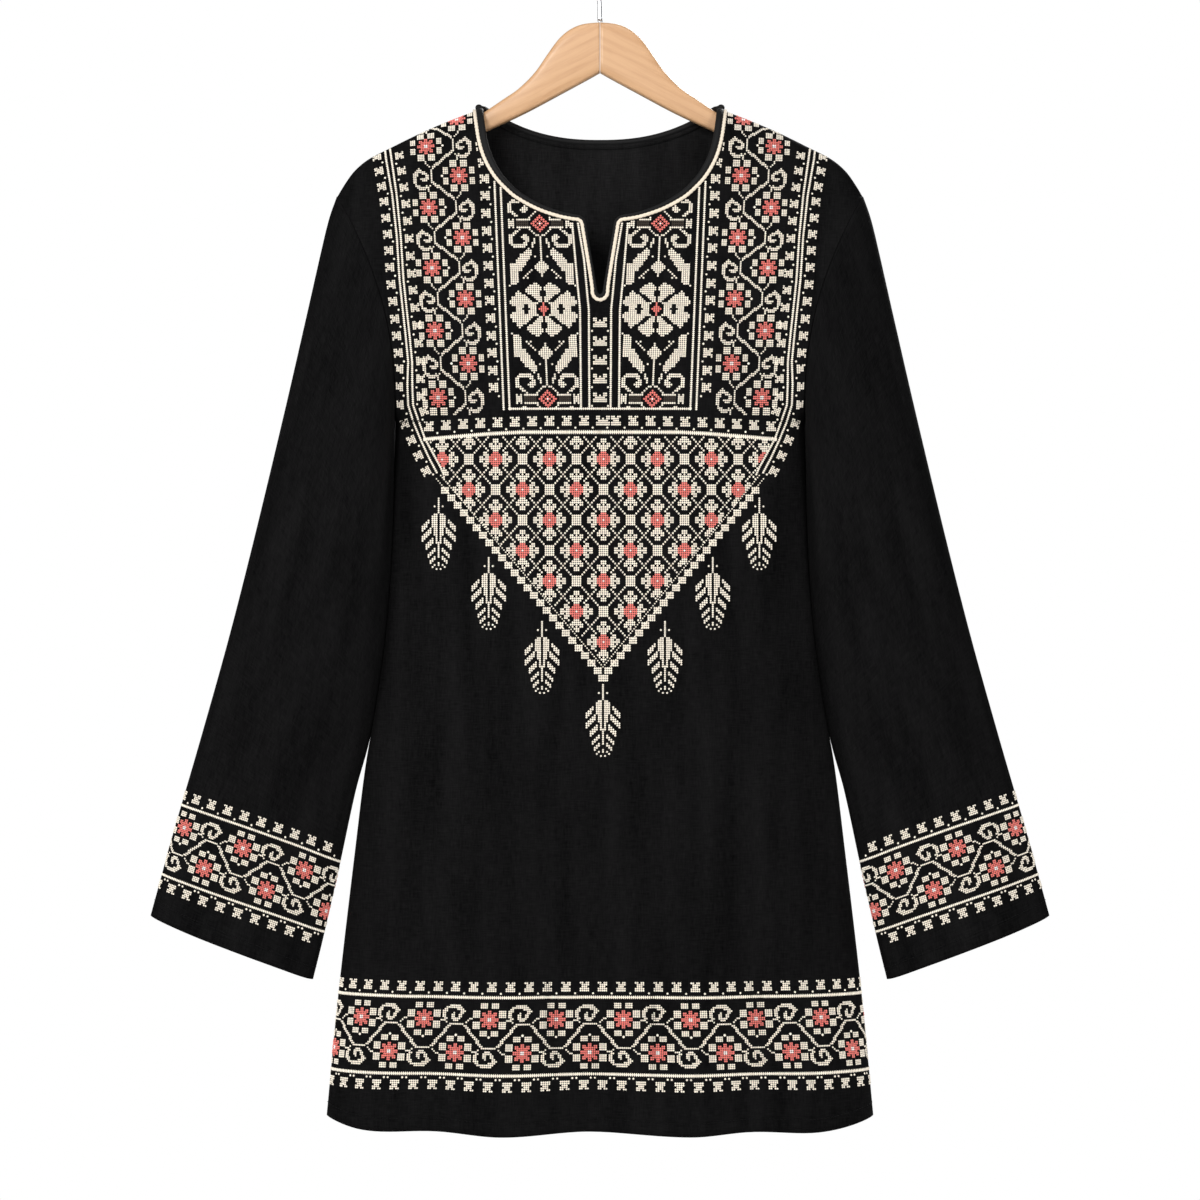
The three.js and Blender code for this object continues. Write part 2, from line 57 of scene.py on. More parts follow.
garment = {
    "cloth": 1.3,                 # thickness of the cloth
    "gap": 0.3,                   # between two pieces at a seam
    "hem": -883, "hemSideRise": 9.5, "hemCorner": 8,
    "shoulderX": 210, "shoulderZ": -139.2, "capSlope": 0.25,
    "underarmX": 163.6, "underarmZ": -320,
    "holeBow": 15.6, "holeDepth": 34, "holeGap": 0.5, "bowFades": 0.45,
    "shoulderRound": 80, "middlePower": 2.6, "sidePower": 4, "seamFade": 0.08,
    "waveTop": -816, "waveFade": 70,
    "neckX": 94.2, "neckZ": -64.3,
    "clothFrom": 4.75,            # how far inside the neck's edge the cloth begins, under the trims
    "side": [(-886, 219.8), (-774, 209), (-654, 195), (-594, 187.5), (-542, 178.5), (-494, 172),
             (-446, 168), (-390, 165.6), (-320, 163.6)],
    "fullness": {front: [(-886, 48), (-600, 41), (-320, 36), (-60, 33)],
                 back: [(-886, 44), (-600, 38), (-320, 34), (-60, 28)]},
    "shoulder": [(0, -31), (97, -69.6), (137, -85.6), (170, -101.6), (186, -110), (197, -119.5),
                 (204.5, -130), (210, -139.2)],
    # folds that fall to the hem: share of the half width, width, how far out, height where it fades
    "folds": {front: [(-0.8, 0.13, 5, -640), (-0.36, 0.2, 9, -560), (-0.04, 0.14, -5, -640),
                      (0.36, 0.22, 8, -600), (0.79, 0.13, 6, -700)],
              back: [(-0.62, 0.18, 8, -560), (-0.12, 0.2, -5, -620), (0.22, 0.2, 8, -600),
                     (0.7, 0.15, 6, -680)]},
    # soft creases: from x, z to x, z, half width, how far out, bow to one side
    "creaseDepth": 1.4,
    "creases": {front: [(-150, -330, -96, -470, 13, 1.5, 10), (-158, -352, -128, -520, 11, -1.3, 6),
                        (152, -334, 104, -450, 12, 1.5, -9), (158, -360, 132, -540, 12, -1.2, -6),
                        (-92, -520, -104, -872, 20, 1.8, 6), (-52, -640, -44, -880, 17, -1.5, -5),
                        (12, -600, 4, -880, 20, 1.3, 4), (66, -560, 84, -880, 21, 1.7, -7),
                        (118, -610, 132, -880, 15, -1.5, 3), (-140, -600, -158, -880, 15, 1.4, 3),
                        (-176, -150, -150, -300, 12, -1.2, 8), (176, -150, 152, -290, 12, -1.1, -8),
                        (-30, -700, -20, -884, 12, 1.1, 0), (40, -690, 46, -884, 12, -1.2, 0)],
                back: [(-150, -330, -60, -420, 14, 1.6, 12), (150, -334, 66, -430, 14, 1.5, -12),
                       (-60, -150, -86, -560, 24, 1.9, 12), (52, -160, 84, -600, 22, -1.7, -10),
                       (-6, -240, 4, -700, 26, 1.6, 0), (-120, -560, -132, -880, 16, -1.5, 4),
                       (34, -620, 30, -884, 16, 1.5, 0), (120, -540, 136, -884, 18, 1.6, -4)]},
    # how the hem's edge rises and dips across the front and the back
    "hemWave": {front: [(-218, 0), (-189, -1.8), (-132, 1.6), (-78, -1.8), (-10, 1.5), (72, -1.8),
                        (119, 1.4), (172, -1.6), (218, 0)],
                back: [(-218, 0), (-150, 1.4), (-84, -1.8), (-20, 1.2), (60, -1.6), (130, 1.4), (218, 0)]},
}


def alongTable(rows, at):
    # smooth value between rows of (place, value): a cubic whose slope at a row is that of the line
    # through the rows on either side of it
    places, values = np.array(sorted(rows), float).T
    spot = np.arange(len(places))
    before, after = np.maximum(spot - 1, 0), np.minimum(spot + 1, len(places) - 1)
    slopes = (values[after] - values[before]) / (places[after] - places[before])
    at = np.clip(at, places[0], places[-1])
    i = np.clip(np.searchsorted(places, at, side="left") - 1, 0, len(places) - 2)
    span = places[i + 1] - places[i]
    s = (at - places[i]) / span
    a, b, h0, h1 = values[i], values[i + 1], slopes[i] * span, slopes[i + 1] * span
    return (2 * a - 2 * b + h0 + h1) * s**3 + (3 * b - 3 * a - 2 * h0 - h1) * s**2 + h0 * s + a


def smoothStep(s):
    # three times the square less twice the cube, held between 0 and 1
    s = np.clip(s, 0, 1)
    return s * s * (3 - 2 * s)


def holePlace(z):
    # 1 at the shoulder point, -1 at the underarm, straight between
    middle = (garment["shoulderZ"] + garment["underarmZ"]) / 2
    return (z - middle) / (garment["shoulderZ"] - middle)


def panelHalf(z):
    # half width of a panel: the side seam's table, then the armhole's straight line less its bow
    g, place = garment, holePlace(z)
    middle = (g["shoulderX"] + g["underarmX"]) / 2
    hole = middle + (g["shoulderX"] - middle) * place - g["holeBow"] * (1 - place * place)
    above = g["shoulderX"] + g["capSlope"] * (z - g["shoulderZ"])
    return np.where(place < -1, alongTable(g["side"], z), np.where(place > 1, above, hole))


def shoulderHeight(x):
    return alongTable(garment["shoulder"], np.abs(x))


def bell(t):
    # a ridge that sinks a little on both sides of itself: (1 - t squared / 3) times e to minus t squared
    return (1 - t * t / 3) * np.exp(-t * t)


def creaseHeight(rows, x, z):
    # sum over creases of: how far out, times a bell of the distance from its bowed line, times a sine
    # squared along it, so that each one fades at both ends
    total = np.zeros(np.broadcast(x, z).shape)
    for x0, z0, x1, z1, width, out, bow in rows:
        dx, dz = x1 - x0, z1 - z0
        length = math.hypot(dx, dz)
        along = ((x - x0) * dx + (z - z0) * dz) / length**2
        aside = ((x - x0) * dz - (z - z0) * dx) / length - bow * np.sin(np.pi * np.clip(along, 0, 1))
        fade = np.sin(np.pi * np.clip(along * 0.94 + 0.03, 0, 1)) ** 2
        total += garment["creaseDepth"] * out * bell(aside / width) * fade
    return total


def panelDepth(x, z, face):
    # depth in front of the middle plane: the square root of out squared times one less share to a power,
    # and the armhole's own depth at the side; out closes over the shoulder as a quarter of an oval
    g = garment
    share = np.minimum(np.abs(x) / panelHalf(z), 1)
    below = np.clip((shoulderHeight(x) - z) / g["shoulderRound"], 0, 1)
    closing = np.sqrt(1 - (1 - below) ** 2)
    atSide = g["holeDepth"] * np.sqrt(np.maximum(1 - holePlace(z) ** 2, 0))
    out = alongTable(g["fullness"][face], z) * closing
    for place, width, fold, top in g["folds"][face]:
        across = (x / panelHalf(z) - place) / width
        out = out + fold * np.exp(-across * across) * smoothStep((top - z) / (top - g["hem"]))
    body = np.sqrt(out * out * (1 - share ** g["middlePower"]) + atSide**2 * share ** g["sidePower"])
    soft = creaseHeight(g["creases"][face], x, z) * closing * smoothStep((1 - share) / g["seamFade"])
    return np.maximum(body + soft, 0)


def panelPoint(x, z, face):
    # a point of the panel's outer face: the depth goes forward on the front and backward on the back, and
    # the lowest part rides up and down with the hem's wave
    g = garment
    y = facing[face] * (panelDepth(x, z, face) + g["gap"] / 2)
    wave = alongTable(g["hemWave"][face], x) * smoothStep((g["waveTop"] - z) / g["waveFade"])
    return np.stack([x + 0 * z, y, z + wave], -1)


def runAlong(line):
    # running length from the line's first point to each one
    return np.r_[0, np.cumsum(np.linalg.norm(np.diff(line, axis=0), axis=1))]


def directions(line):
    # the line's direction at each point, of length one
    along = np.gradient(line, axis=0)
    return along / np.linalg.norm(along, axis=1)[:, None]


def atRuns(want, run, line):
    # the line's points at wanted running lengths
    return np.stack([np.interp(want, run, line[:, k]) for k in range(line.shape[1])], 1)


def resample(line, step):
    # the same line with its points evenly far apart, by its running length
    run = runAlong(line)
    return atRuns(np.linspace(0, run[-1], max(int(run[-1] / step) + 1, 2)), run, line)


def smoothCurve(points, at):
    # smooth curve through the points of a plane line, by their count
    return np.stack([alongTable(list(enumerate(points[:, k])), at) for k in range(2)], 1)


neck = {
    "slitTopHalf": 10.8, "slitBottomHalf": 2.1, "slitBottom": -220, "footRise": 3.0, "corner": 10, "lean": 0.3,
    "frontHeight": -156.8, "backDrop": 26.4, "backPower": 2.4,
    "rim": [(31.8, -154.2), (47, -148.4), (62.3, -139.5), (70.8, -131.9), (78.6, -122.5), (85.1, -110.3),
            (89.2, -97.2), (91.8, -81.6), (94.2, -64.3)],
}


def frontNeckEdge(step=0.8):
    # half of the front's neck edge, from the foot of the slit: a quarter oval, a straight side, a bend
    # (two straight blends of three points) and a smooth curve through the rim's points
    n = neck
    foot = n["slitBottom"] + n["footRise"]
    turn = np.linspace(0, np.pi / 2, 16)
    oval = np.stack([n["slitBottomHalf"] * np.sin(turn), foot - n["footRise"] * np.cos(turn)], 1)
    top = np.array([n["slitTopHalf"] - n["lean"], n["frontHeight"] - n["corner"]])
    tip = np.array([n["slitTopHalf"], n["frontHeight"]])
    end = np.array([n["slitTopHalf"] + n["corner"], n["frontHeight"]])
    t = np.linspace(0, 1, 16)[:, None]
    bend = (1 - t) ** 2 * top + 2 * t * (1 - t) * tip + t * t * end
    rim = np.array([end, *n["rim"]])
    at = np.linspace(0, len(rim) - 1, 160)
    return resample(np.concatenate([oval, bend[:-1], smoothCurve(rim, at)]), step)


def backNeckEdge(step=0.8):
    # half of the back's neck edge: the drop times one less the share to a power, below the neck point
    share = np.linspace(0, 1, 120)
    dip = neck["backDrop"] * (1 - share ** neck["backPower"])
    return resample(np.stack([garment["neckX"] * share, garment["neckZ"] - dip], 1), step)


neckEdges = {front: frontNeckEdge, back: backNeckEdge}


def offsetInto(line, distance, cap=True):
    # the line moved square to itself into the cloth, kept below the shoulder
    along = directions(line)
    into = np.stack([along[:, 1], -along[:, 0]], 1)
    into[0] = (0, -1)
    moved = line + distance * into
    moved[:, 0] = np.maximum(moved[:, 0], 0)
    if cap:
        moved[:, 1] = np.minimum(moved[:, 1], shoulderHeight(moved[:, 0]))
    return moved, into


def gridQuads(rows, columns, closed=False, flip=False):
    # four corners of each cell of a grid of points; a closed grid joins its last column to its first
    j = np.arange(columns if closed else columns - 1)
    i, j = np.meshgrid(np.arange(rows - 1), j, indexing="ij")
    right = (j + 1) % columns
    low, high = i * columns, (i + 1) * columns
    quads = np.stack([low + j, low + right, high + right, high + j], -1).reshape(-1, 4)
    return quads[:, ::-1] if flip else quads


def setPlace(points):
    # millimetres in the garment's frame to metres in the row's frame
    return (points + np.array([0, 0, crown])) * 0.001


def makePiece(name, points, faces, material, smooth=True, uv=None, colours=None):
    # a mesh from whole arrays of points and faces, with the weave's places and the threads' colours
    mesh = bpy.data.meshes.new(name)
    mesh.vertices.add(len(points))
    mesh.vertices.foreach_set("co", setPlace(points).astype(np.float32).ravel())
    sides = faces.shape[1]
    mesh.loops.add(faces.size)
    mesh.loops.foreach_set("vertex_index", faces.astype(np.int32).ravel())
    mesh.polygons.add(len(faces))
    mesh.polygons.foreach_set("loop_start", np.arange(0, faces.size, sides, dtype=np.int32))
    mesh.update(calc_edges=True)
    mesh.validate()
    mesh.polygons.foreach_set("use_smooth", np.full(len(mesh.polygons), smooth))
    if uv is not None:
        layer = mesh.uv_layers.new(name="weave")
        corner = np.empty(len(mesh.loops), np.int32)
        mesh.loops.foreach_get("vertex_index", corner)
        layer.data.foreach_set("uv", uv[corner].astype(np.float32).ravel())
    if colours is not None:
        layer = mesh.attributes.new("thread", "FLOAT_COLOR", "POINT")
        layer.data.foreach_set("color", np.c_[colours, np.ones(len(colours))].astype(np.float32).ravel())
    piece = bpy.data.objects.new(name, mesh)
    bpy.context.scene.collection.objects.link(piece)
    mesh.materials.append(material)
    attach(piece, "root")
    return piece


def newMaterial(name, shader):
    # gives a function that adds a node, where in_ names set inputs to a value or to another output, and
    # one that sets the shader's own inputs in the same way and gives the material
    material = bpy.data.materials.new(name)
    material.use_nodes = True
    nodes, links = material.node_tree.nodes, material.node_tree.links

    def put(made, key, value):
        if isinstance(value, bpy.types.NodeSocket):
            links.new(value, made.inputs[key])
        else:
            made.inputs[key].default_value = value

    def node(kind, out=0, **values):
        made = nodes.new("ShaderNode" + kind)
        for key, value in values.items():
            if key.startswith("in_"):
                put(made, key[3:].replace("_", " "), value)
            else:
                setattr(made, key, value)
        return made.outputs[out]

    def finish(**values):
        for key, value in {**shader, **values}.items():
            put(nodes["Principled BSDF"], key.replace("_", " "), value)
        return material

    return node, finish


def mathNode(node, operation, a, b):
    made = node("Math", operation=operation)
    for slotIndex, value in enumerate((a, b)):
        if isinstance(value, (int, float)):
            made.node.inputs[slotIndex].default_value = value
        else:
            made.id_data.links.new(value, made.node.inputs[slotIndex])
    return made


def weighted(node, *parts):
    # sum of outputs, each times its weight
    total = mathNode(node, "MULTIPLY", *parts[0])
    for part in parts[1:]:
        total = mathNode(node, "ADD", total, mathNode(node, "MULTIPLY", *part))
    return total


def rampNode(node, source, stops):
    ramp = node("ValToRGB", "Color", in_Fac=source)
    elements = ramp.node.color_ramp.elements
    for element, (place, colour) in zip(elements, stops):
        element.position = place
        element.color = (*colour, 1)
    return ramp


def noiseNode(node, source, scale, detail, **values):
    # noise over places that are stretched by the scale
    stretched = node("Mapping", in_Vector=source, in_Scale=scale)
    return node("TexNoise", "Fac", in_Vector=stretched, in_Scale=1.0, in_Detail=detail, **values)


def bumpNode(node, height, strength, distance):
    return node("Bump", in_Strength=strength, in_Distance=distance, in_Height=height)


clothLook = {
    "dark": (0.0004, 0.0004, 0.0005), "light": (0.0080, 0.0078, 0.0080), "between": (0.36, 0.64),
    "threads": 1900,              # threads a metre
    "patches": (45, 6, 1),        # worn patches a metre, across and along
    "slubLong": 100, "slubFine": 1300, "yarnWeight": 0.33, "patchWeight": 0.34, "weaveHeight": 0.5,
    "bump": 0.35, "bumpDistance": 0.0004,
    "shader": {"Roughness": 0.8, "Specular IOR Level": 0.03, "Sheen Weight": 0.006, "Sheen Roughness": 0.4},
}


def clothMaterial(name, look):
    # plain weave: warp and weft waves cross, and stretched noise both ways makes the uneven yarns
    node, finish = newMaterial(name, look["shader"])
    uv = node("UVMap", "UV", uv_map="weave")
    long, fine = look["slubLong"], look["slubFine"]
    across = noiseNode(node, uv, (long, fine, 1), 3.0, in_Roughness=0.6)
    upward = noiseNode(node, uv, (fine, long, 1), 3.0, in_Roughness=0.6)
    patchy = noiseNode(node, uv, look["patches"], 4.0, in_Roughness=0.6)
    waves = [node("TexWave", "Fac", bands_direction=direction, in_Vector=uv, in_Scale=look["threads"] / 20,
                  in_Distortion=0.6, in_Detail=1.0, in_Detail_Scale=2.0) for direction in ("X", "Y")]
    yarns = mathNode(node, "ADD", across, upward)
    tone = weighted(node, (yarns, look["yarnWeight"]), (patchy, look["patchWeight"]))
    weave = mathNode(node, "MULTIPLY", *waves)
    height = mathNode(node, "ADD", mathNode(node, "MULTIPLY", weave, look["weaveHeight"]), yarns)
    return finish(Base_Color=rampNode(node, tone, zip(look["between"], (look["dark"], look["light"]))),
                  Normal=bumpNode(node, height, look["bump"], look["bumpDistance"]))


bindingLook = dict(clothLook, dark=(0.003, 0.003, 0.0032), light=(0.007, 0.007, 0.0073), slubLong=260,
                   slubFine=2600, bump=0.25, shader={"Roughness": 0.6, "Specular IOR Level": 0.16,
                                                     "Sheen Weight": 0.03, "Sheen Roughness": 0.4})
# the inner side's cloth, paler than the outer one: painted light, standing in for light that reaches the inside
insidePaintedLightLook = dict(clothLook, dark=(0.0025, 0.0025, 0.0026), light=(0.0155, 0.0152, 0.0155))

clothBlack = clothMaterial("cloth_black_weave", clothLook)
clothInsidePaintedLight = clothMaterial("cloth_inside_painted_light", insidePaintedLightLook)
bindingBlack = clothMaterial("binding_black", bindingLook)

threadLook = {
    "twist": 2600, "strands": [(0.3, (0.8, 0.79, 0.78)), (0.6, (1, 1, 1))], "bump": 0.3, "bumpDistance": 0.0002,
    "shader": {"Roughness": 0.62, "Specular IOR Level": 0.35, "Sheen Weight": 0.25, "Sheen Roughness": 0.4},
}


def threadMaterial(name, look):
    # the colour is the stitch's own; fine noise darkens its strands and raises them
    node, finish = newMaterial(name, look["shader"])
    place = node("TexCoord", "Object")
    fine = node("TexNoise", "Fac", in_Vector=place, in_Scale=look["twist"], in_Detail=2.0)
    colour = node("Attribute", "Color", attribute_name="thread")
    mixed = node("Mix", "Result", data_type="RGBA", blend_type="MULTIPLY", in_Factor=1.0, in_A=colour,
                 in_B=rampNode(node, fine, look["strands"]))
    return finish(Base_Color=mixed, Normal=bumpNode(node, fine, look["bump"], look["bumpDistance"]))


threadDyed = threadMaterial("embroidery_thread", threadLook)
threadSewing = threadMaterial("sewing_thread", dict(threadLook, shader=dict(
    threadLook["shader"], **{"Roughness": 0.8, "Specular IOR Level": 0.1, "Sheen Weight": 0.02})))

woodLook = {
    "deep": (0.467, 0.256, 0.122), "pale": (0.555, 0.325, 0.168), "between": (0.32, 0.62),
    "grain": (22, 300, 300), "pores": (90, 2600, 2600), "rings": (0.35, 3, 3), "weights": (0.72, 0.16, 0.2),
    "bump": 0.12, "bumpDistance": 0.0003,
    "shader": {"Roughness": 0.42, "Coat Weight": 0.25, "Coat Roughness": 0.25},
}


def woodMaterial(name, look, lean):
    # long grain along the arm: noise drawn out along it, with fine pores; lean turns it with the arm
    node, finish = newMaterial(name, look["shader"])
    turned = node("Mapping", in_Vector=node("TexCoord", "Object"), in_Rotation=(0, lean, 0))
    grain = noiseNode(node, turned, look["grain"], 5.0, in_Roughness=0.62, in_Distortion=0.5)
    pores = noiseNode(node, turned, look["pores"], 2.0)
    rings = node("TexWave", "Fac", bands_direction="Z", in_Scale=14.0, in_Distortion=5.0, in_Detail=2.0,
                 in_Vector=node("Mapping", in_Vector=turned, in_Scale=look["rings"]))
    tone = weighted(node, *zip((grain, rings, pores), look["weights"]))
    return finish(Base_Color=rampNode(node, tone, zip(look["between"], (look["deep"], look["pale"]))),
                  Normal=bumpNode(node, pores, look["bump"], look["bumpDistance"]))


steelLook = {
    "drawn": (2200, 2200, 60), "tones": [(0.3, (0.52, 0.53, 0.55)), (0.7, (0.68, 0.69, 0.71))],
    "roughness": (0.2, 0.34), "shader": {"Metallic": 1},
}


def steelMaterial(name, look):
    # bright wire with drawn lines along it, from noise stretched up the hook
    node, finish = newMaterial(name, look["shader"])
    drawn = noiseNode(node, node("TexCoord", "Object"), look["drawn"], 3.0)
    low, high = look["roughness"]
    return finish(Base_Color=rampNode(node, drawn, look["tones"]),
                  Roughness=node("MapRange", in_Value=drawn, in_To_Min=low, in_To_Max=high))


panels = {
    front: {"neckColumns": 40, "shoulderColumns": 26, "rows": 190, "gather": 1.35},
    back: {"neckColumns": 22, "shoulderColumns": 22, "rows": 140, "gather": 1.35},
}


def panelTops(face):
    # top of each column, from the centre out to the shoulder point: along the neck, then the shoulder
    inner, _ = offsetInto(neckEdges[face](), garment["clothFrom"])
    inner[-1, 1] = shoulderHeight(inner[-1, 0])
    count = panels[face]["neckColumns"]
    run = runAlong(inner)
    neckTops = atRuns(run[-1] * np.sin(np.linspace(0, np.pi / 2, count)), run, inner)
    share = np.sin(np.linspace(0, np.pi / 2, panels[face]["shoulderColumns"] + 1)[1:])
    x = inner[-1, 0] + (garment["shoulderX"] - inner[-1, 0]) * share
    z = np.where(share == 1, garment["shoulderZ"], shoulderHeight(x))
    return np.concatenate([neckTops, np.stack([x, z], 1)])


def panelGrid(face):
    # columns keep their share of the half width from hem to top; rows close up towards the top, as one
    # less the remaining height to a power
    tops = panelTops(face)
    share = tops[:, 0] / panelHalf(tops[:, 1])
    share = np.r_[-share[:0:-1], share]
    top = np.r_[tops[:0:-1, 1], tops[:, 1]]
    hem = garment["hem"] + garment["hemSideRise"] * np.abs(share) ** garment["hemCorner"]
    rise = 1 - (1 - np.linspace(0, 1, panels[face]["rows"])) ** panels[face]["gather"]
    z = hem + (top - hem) * rise[:, None]
    x = share * panelHalf(z)
    return x, z


def addWall(piece):
    # the cloth's own thickness, inward from the face; its other side takes the paler inner cloth, painted light
    # that stands in for light reaching inside
    piece.data.materials.append(clothInsidePaintedLight)
    wall = piece.modifiers.new("wall", "SOLIDIFY")
    wall.thickness, wall.offset = garment["cloth"] * 0.001, -1
    wall.use_even_offset, wall.material_offset = False, 1
    return piece


def makePanel(face):
    x, z = panelGrid(face)
    points = panelPoint(x, z, face)
    quads = gridQuads(*x.shape, flip=face == back)
    uv = np.stack([x, z], -1).reshape(-1, 2) * 0.001
    return addWall(makePiece("panel_" + face, points.reshape(-1, 3), quads, clothBlack, uv=uv))


panelFront, panelBack = makePanel(front), makePanel(back)
print("panels done")


sleeve = {
    "rows": 150, "around": 88, "weaveSize": (0.32, 0.58),
    "cuffOuterZ": -715, "cuffInnerZ": -766, "cuffDepth": 19,
    "outer": [(-715, 359), (-653.6, 342.4), (-573.6, 319.2), (-493.6, 296.8), (-413.6, 276.4), (-313.6, 252.4),
              (-233.6, 234), (-173.6, 220.4), (-155, 215.6), (-139.2, 210)],
    "inner": [(-766, 229), (-733.6, 221.2), (-673.6, 207.6), (-613.6, 194.6), (-577.6, 184.6), (-541.6, 177.5),
              (-493.6, 171), (-445.6, 167), (-389.6, 164.7), (-320, 163.6)],
    "edge": {"from": 0.93, "dip": 0.2, "cornerRise": 0.8, "cornerPower": 14},
    # folds down the sleeve: degrees round it from its outer edge by way of the front, width, out, start
    "folds": [(62, 26, 3.5, 0.3), (128, 22, -3, 0.15), (245, 28, 3.5, 0.35)],
    # soft creases: down and degrees at each end, half width in degrees, out, bow in degrees
    "creases": [(0.06, 150, 0.5, 118, 14, 1.6, 8), (0.1, 60, 0.62, 84, 15, -1.3, -8),
                (0.34, 100, 0.95, 92, 13, 1.2, 5), (0.5, 40, 0.98, 46, 12, -1.1, 3),
                (0.55, 150, 0.99, 140, 11, 1.2, -3), (0.08, 215, 0.6, 240, 15, 1.5, 8),
                (0.3, 300, 0.95, 285, 15, -1.4, -6), (0.55, 205, 0.99, 212, 12, 1.2, 3)],
}


def sleevePoint(down, turn, side):
    # a tilted ring at each height: middle plus half width times cosine less the bow times sine squared
    # across, middle plus half height times cosine up, and the depth with its folds times sine forward;
    # the cuff's edge dips between its corners and rises a little at them
    g, s = garment, sleeve
    turn = np.mod(turn, 360)
    outerZ = g["shoulderZ"] + (s["cuffOuterZ"] - g["shoulderZ"]) * down
    innerZ = g["underarmZ"] + (s["cuffInnerZ"] - g["underarmZ"]) * down
    outerX, innerX = alongTable(s["outer"], outerZ), alongTable(s["inner"], innerZ)
    bow = g["holeBow"] * (1 - smoothStep(down / g["bowFades"]))
    bulge = g["holeDepth"] + (s["cuffDepth"] - g["holeDepth"]) * smoothStep(down)
    for place, width, out, top in s["folds"]:
        bulge = bulge + out * np.exp(-(((turn - place) / width) ** 2)) * smoothStep((down - top) / (1 - top))
    cos, sin = np.cos(np.radians(turn)), np.sin(np.radians(turn))
    crease = np.zeros(np.broadcast(down, turn).shape)
    for d0, t0, d1, t1, width, out, arch in s["creases"]:
        along = np.clip((down - d0) / (d1 - d0), 0, 1)
        line = t0 + (t1 - t0) * along + arch * np.sin(np.pi * along)
        crease = crease + g["creaseDepth"] * out * bell((turn - line) / width) * np.sin(np.pi * along) ** 2
    x = (outerX + innerX) / 2 + (outerX - innerX) / 2 * cos - bow * sin * sin + g["holeGap"]
    near = smoothStep((down - s["edge"]["from"]) / (1 - s["edge"]["from"]))
    bent = s["edge"]["cornerRise"] * np.abs(cos) ** s["edge"]["cornerPower"] - s["edge"]["dip"] * sin * sin
    z = (outerZ + innerZ) / 2 + (outerZ - innerZ) / 2 * cos + near * bent
    y = -bulge * sin - np.sign(sin) * crease * np.abs(sin) ** 0.5
    return np.stack([side * (x + 0 * y), y, z + 0 * y], -1)


def makeSleeve(name, side):
    down = np.linspace(1, 0, sleeve["rows"])[:, None]
    turn = np.linspace(0, 360, sleeve["around"], endpoint=False)[None, :]
    points = sleevePoint(down, turn, side)
    quads = gridQuads(*points.shape[:2], closed=True, flip=side > 0)
    wide, long = sleeve["weaveSize"]
    uv = np.stack([turn / 360 * wide + 0 * down, down * long + 0 * turn], -1).reshape(-1, 2)
    return addWall(makePiece(name, points.reshape(-1, 3), quads, clothBlack, uv=uv))


sleeveLeft = makeSleeve("sleeve_cloth_left", 1)
sleeveRight = makeSleeve("sleeve_cloth_right", -1)
print("sleeves done")


trim = {
    # how far the cord's middle is from the edge, by the running length from the foot of the slit
    "inset": {front: [(0, 4.6), (8, 3.6), (45, 3.3), (70, 3.6), (115, 5.2), (160, 6.7), (240, 6.75)],
              back: [(0, 5.8), (70, 5.9), (85, 6.6), (120, 6.6)]},
    "binding": {"thick": 1.9, "clear": 0, "under": 0.5, "sides": 16, "step": 0.8,
                "end": {"bend": 2.2, "over": 4, "drop": 0.7}},
    "braid": {"radius": 1.5, "thick": 1.0, "above": 0.5, "clear": 2.5, "sides": 14, "step": 0.5,
              "plies": 2, "layLength": 3.2, "groove": 0.2, "cream": (0.78, 0.68, 0.545)},
}


def panelOutward(x, z, face, step=0.5):
    # square to the panel, from how its depth changes over a short step either way
    across = (panelDepth(x + step, z, face) - panelDepth(x - step, z, face)) / (2 * step)
    upward = (panelDepth(x, z + step, face) - panelDepth(x, z - step, face)) / (2 * step)
    outward = np.stack([-across, np.full(across.shape, float(facing[face])), -upward], -1)
    return outward / np.linalg.norm(outward, axis=-1, keepdims=True)


def insetAt(line, face):
    # the cord's distance from the edge at each of the line's points
    return alongTable(trim["inset"][face], runAlong(line))[:, None]


def neckLine(face, isCord, lift, leastDepth, step):
    # the whole line of the cord, or of the roll between it and the edge, with the direction across it that
    # lies in the cloth, and its radius: the roll fills what the cord leaves, and goes a little under it
    edge, cord = neckEdges[face](), trim["braid"]["radius"]
    inset = insetAt(edge, face)
    radius = 0 * inset + cord if isCord else (inset - cord + trim["binding"]["under"]) / 2
    flat, into = offsetInto(edge, inset if isCord else radius, isCord)
    forward = facing[face]
    points = np.stack([flat[:, 0], forward * panelDepth(flat[:, 0], flat[:, 1], face), flat[:, 1]], 1)
    points = points + lift * panelOutward(flat[:, 0], flat[:, 1], face)
    points[:, 1] = forward * np.maximum(np.abs(points[:, 1]), leastDepth)
    across = np.stack([into[:, 0], 0 * into[:, 0], into[:, 1]], 1)
    rows = np.concatenate([points, across, radius], 1)
    if not isCord:
        # the roll bends down at the shoulder and goes on a little over it
        run, end = runAlong(points), trim["binding"]["end"]
        rows[:, 2] -= end["bend"] * np.exp(-((run[-1] - run) / end["over"]) ** 2)
        rows = np.concatenate([rows, rows[-1:] + (0, -end["bend"] * forward, -end["drop"], 0, 0, 0, 0)])
    rows = np.concatenate([rows[:0:-1] * (-1, 1, 1, -1, 1, 1, 1), rows])
    both = resample(rows, step)
    for k in range(3):
        # mean of five points in a row
        both[2:-2, k] = np.convolve(both[:, k], np.ones(5) / 5, "valid")
    return both[:, :3], both[:, 3:6], both[:, 6]


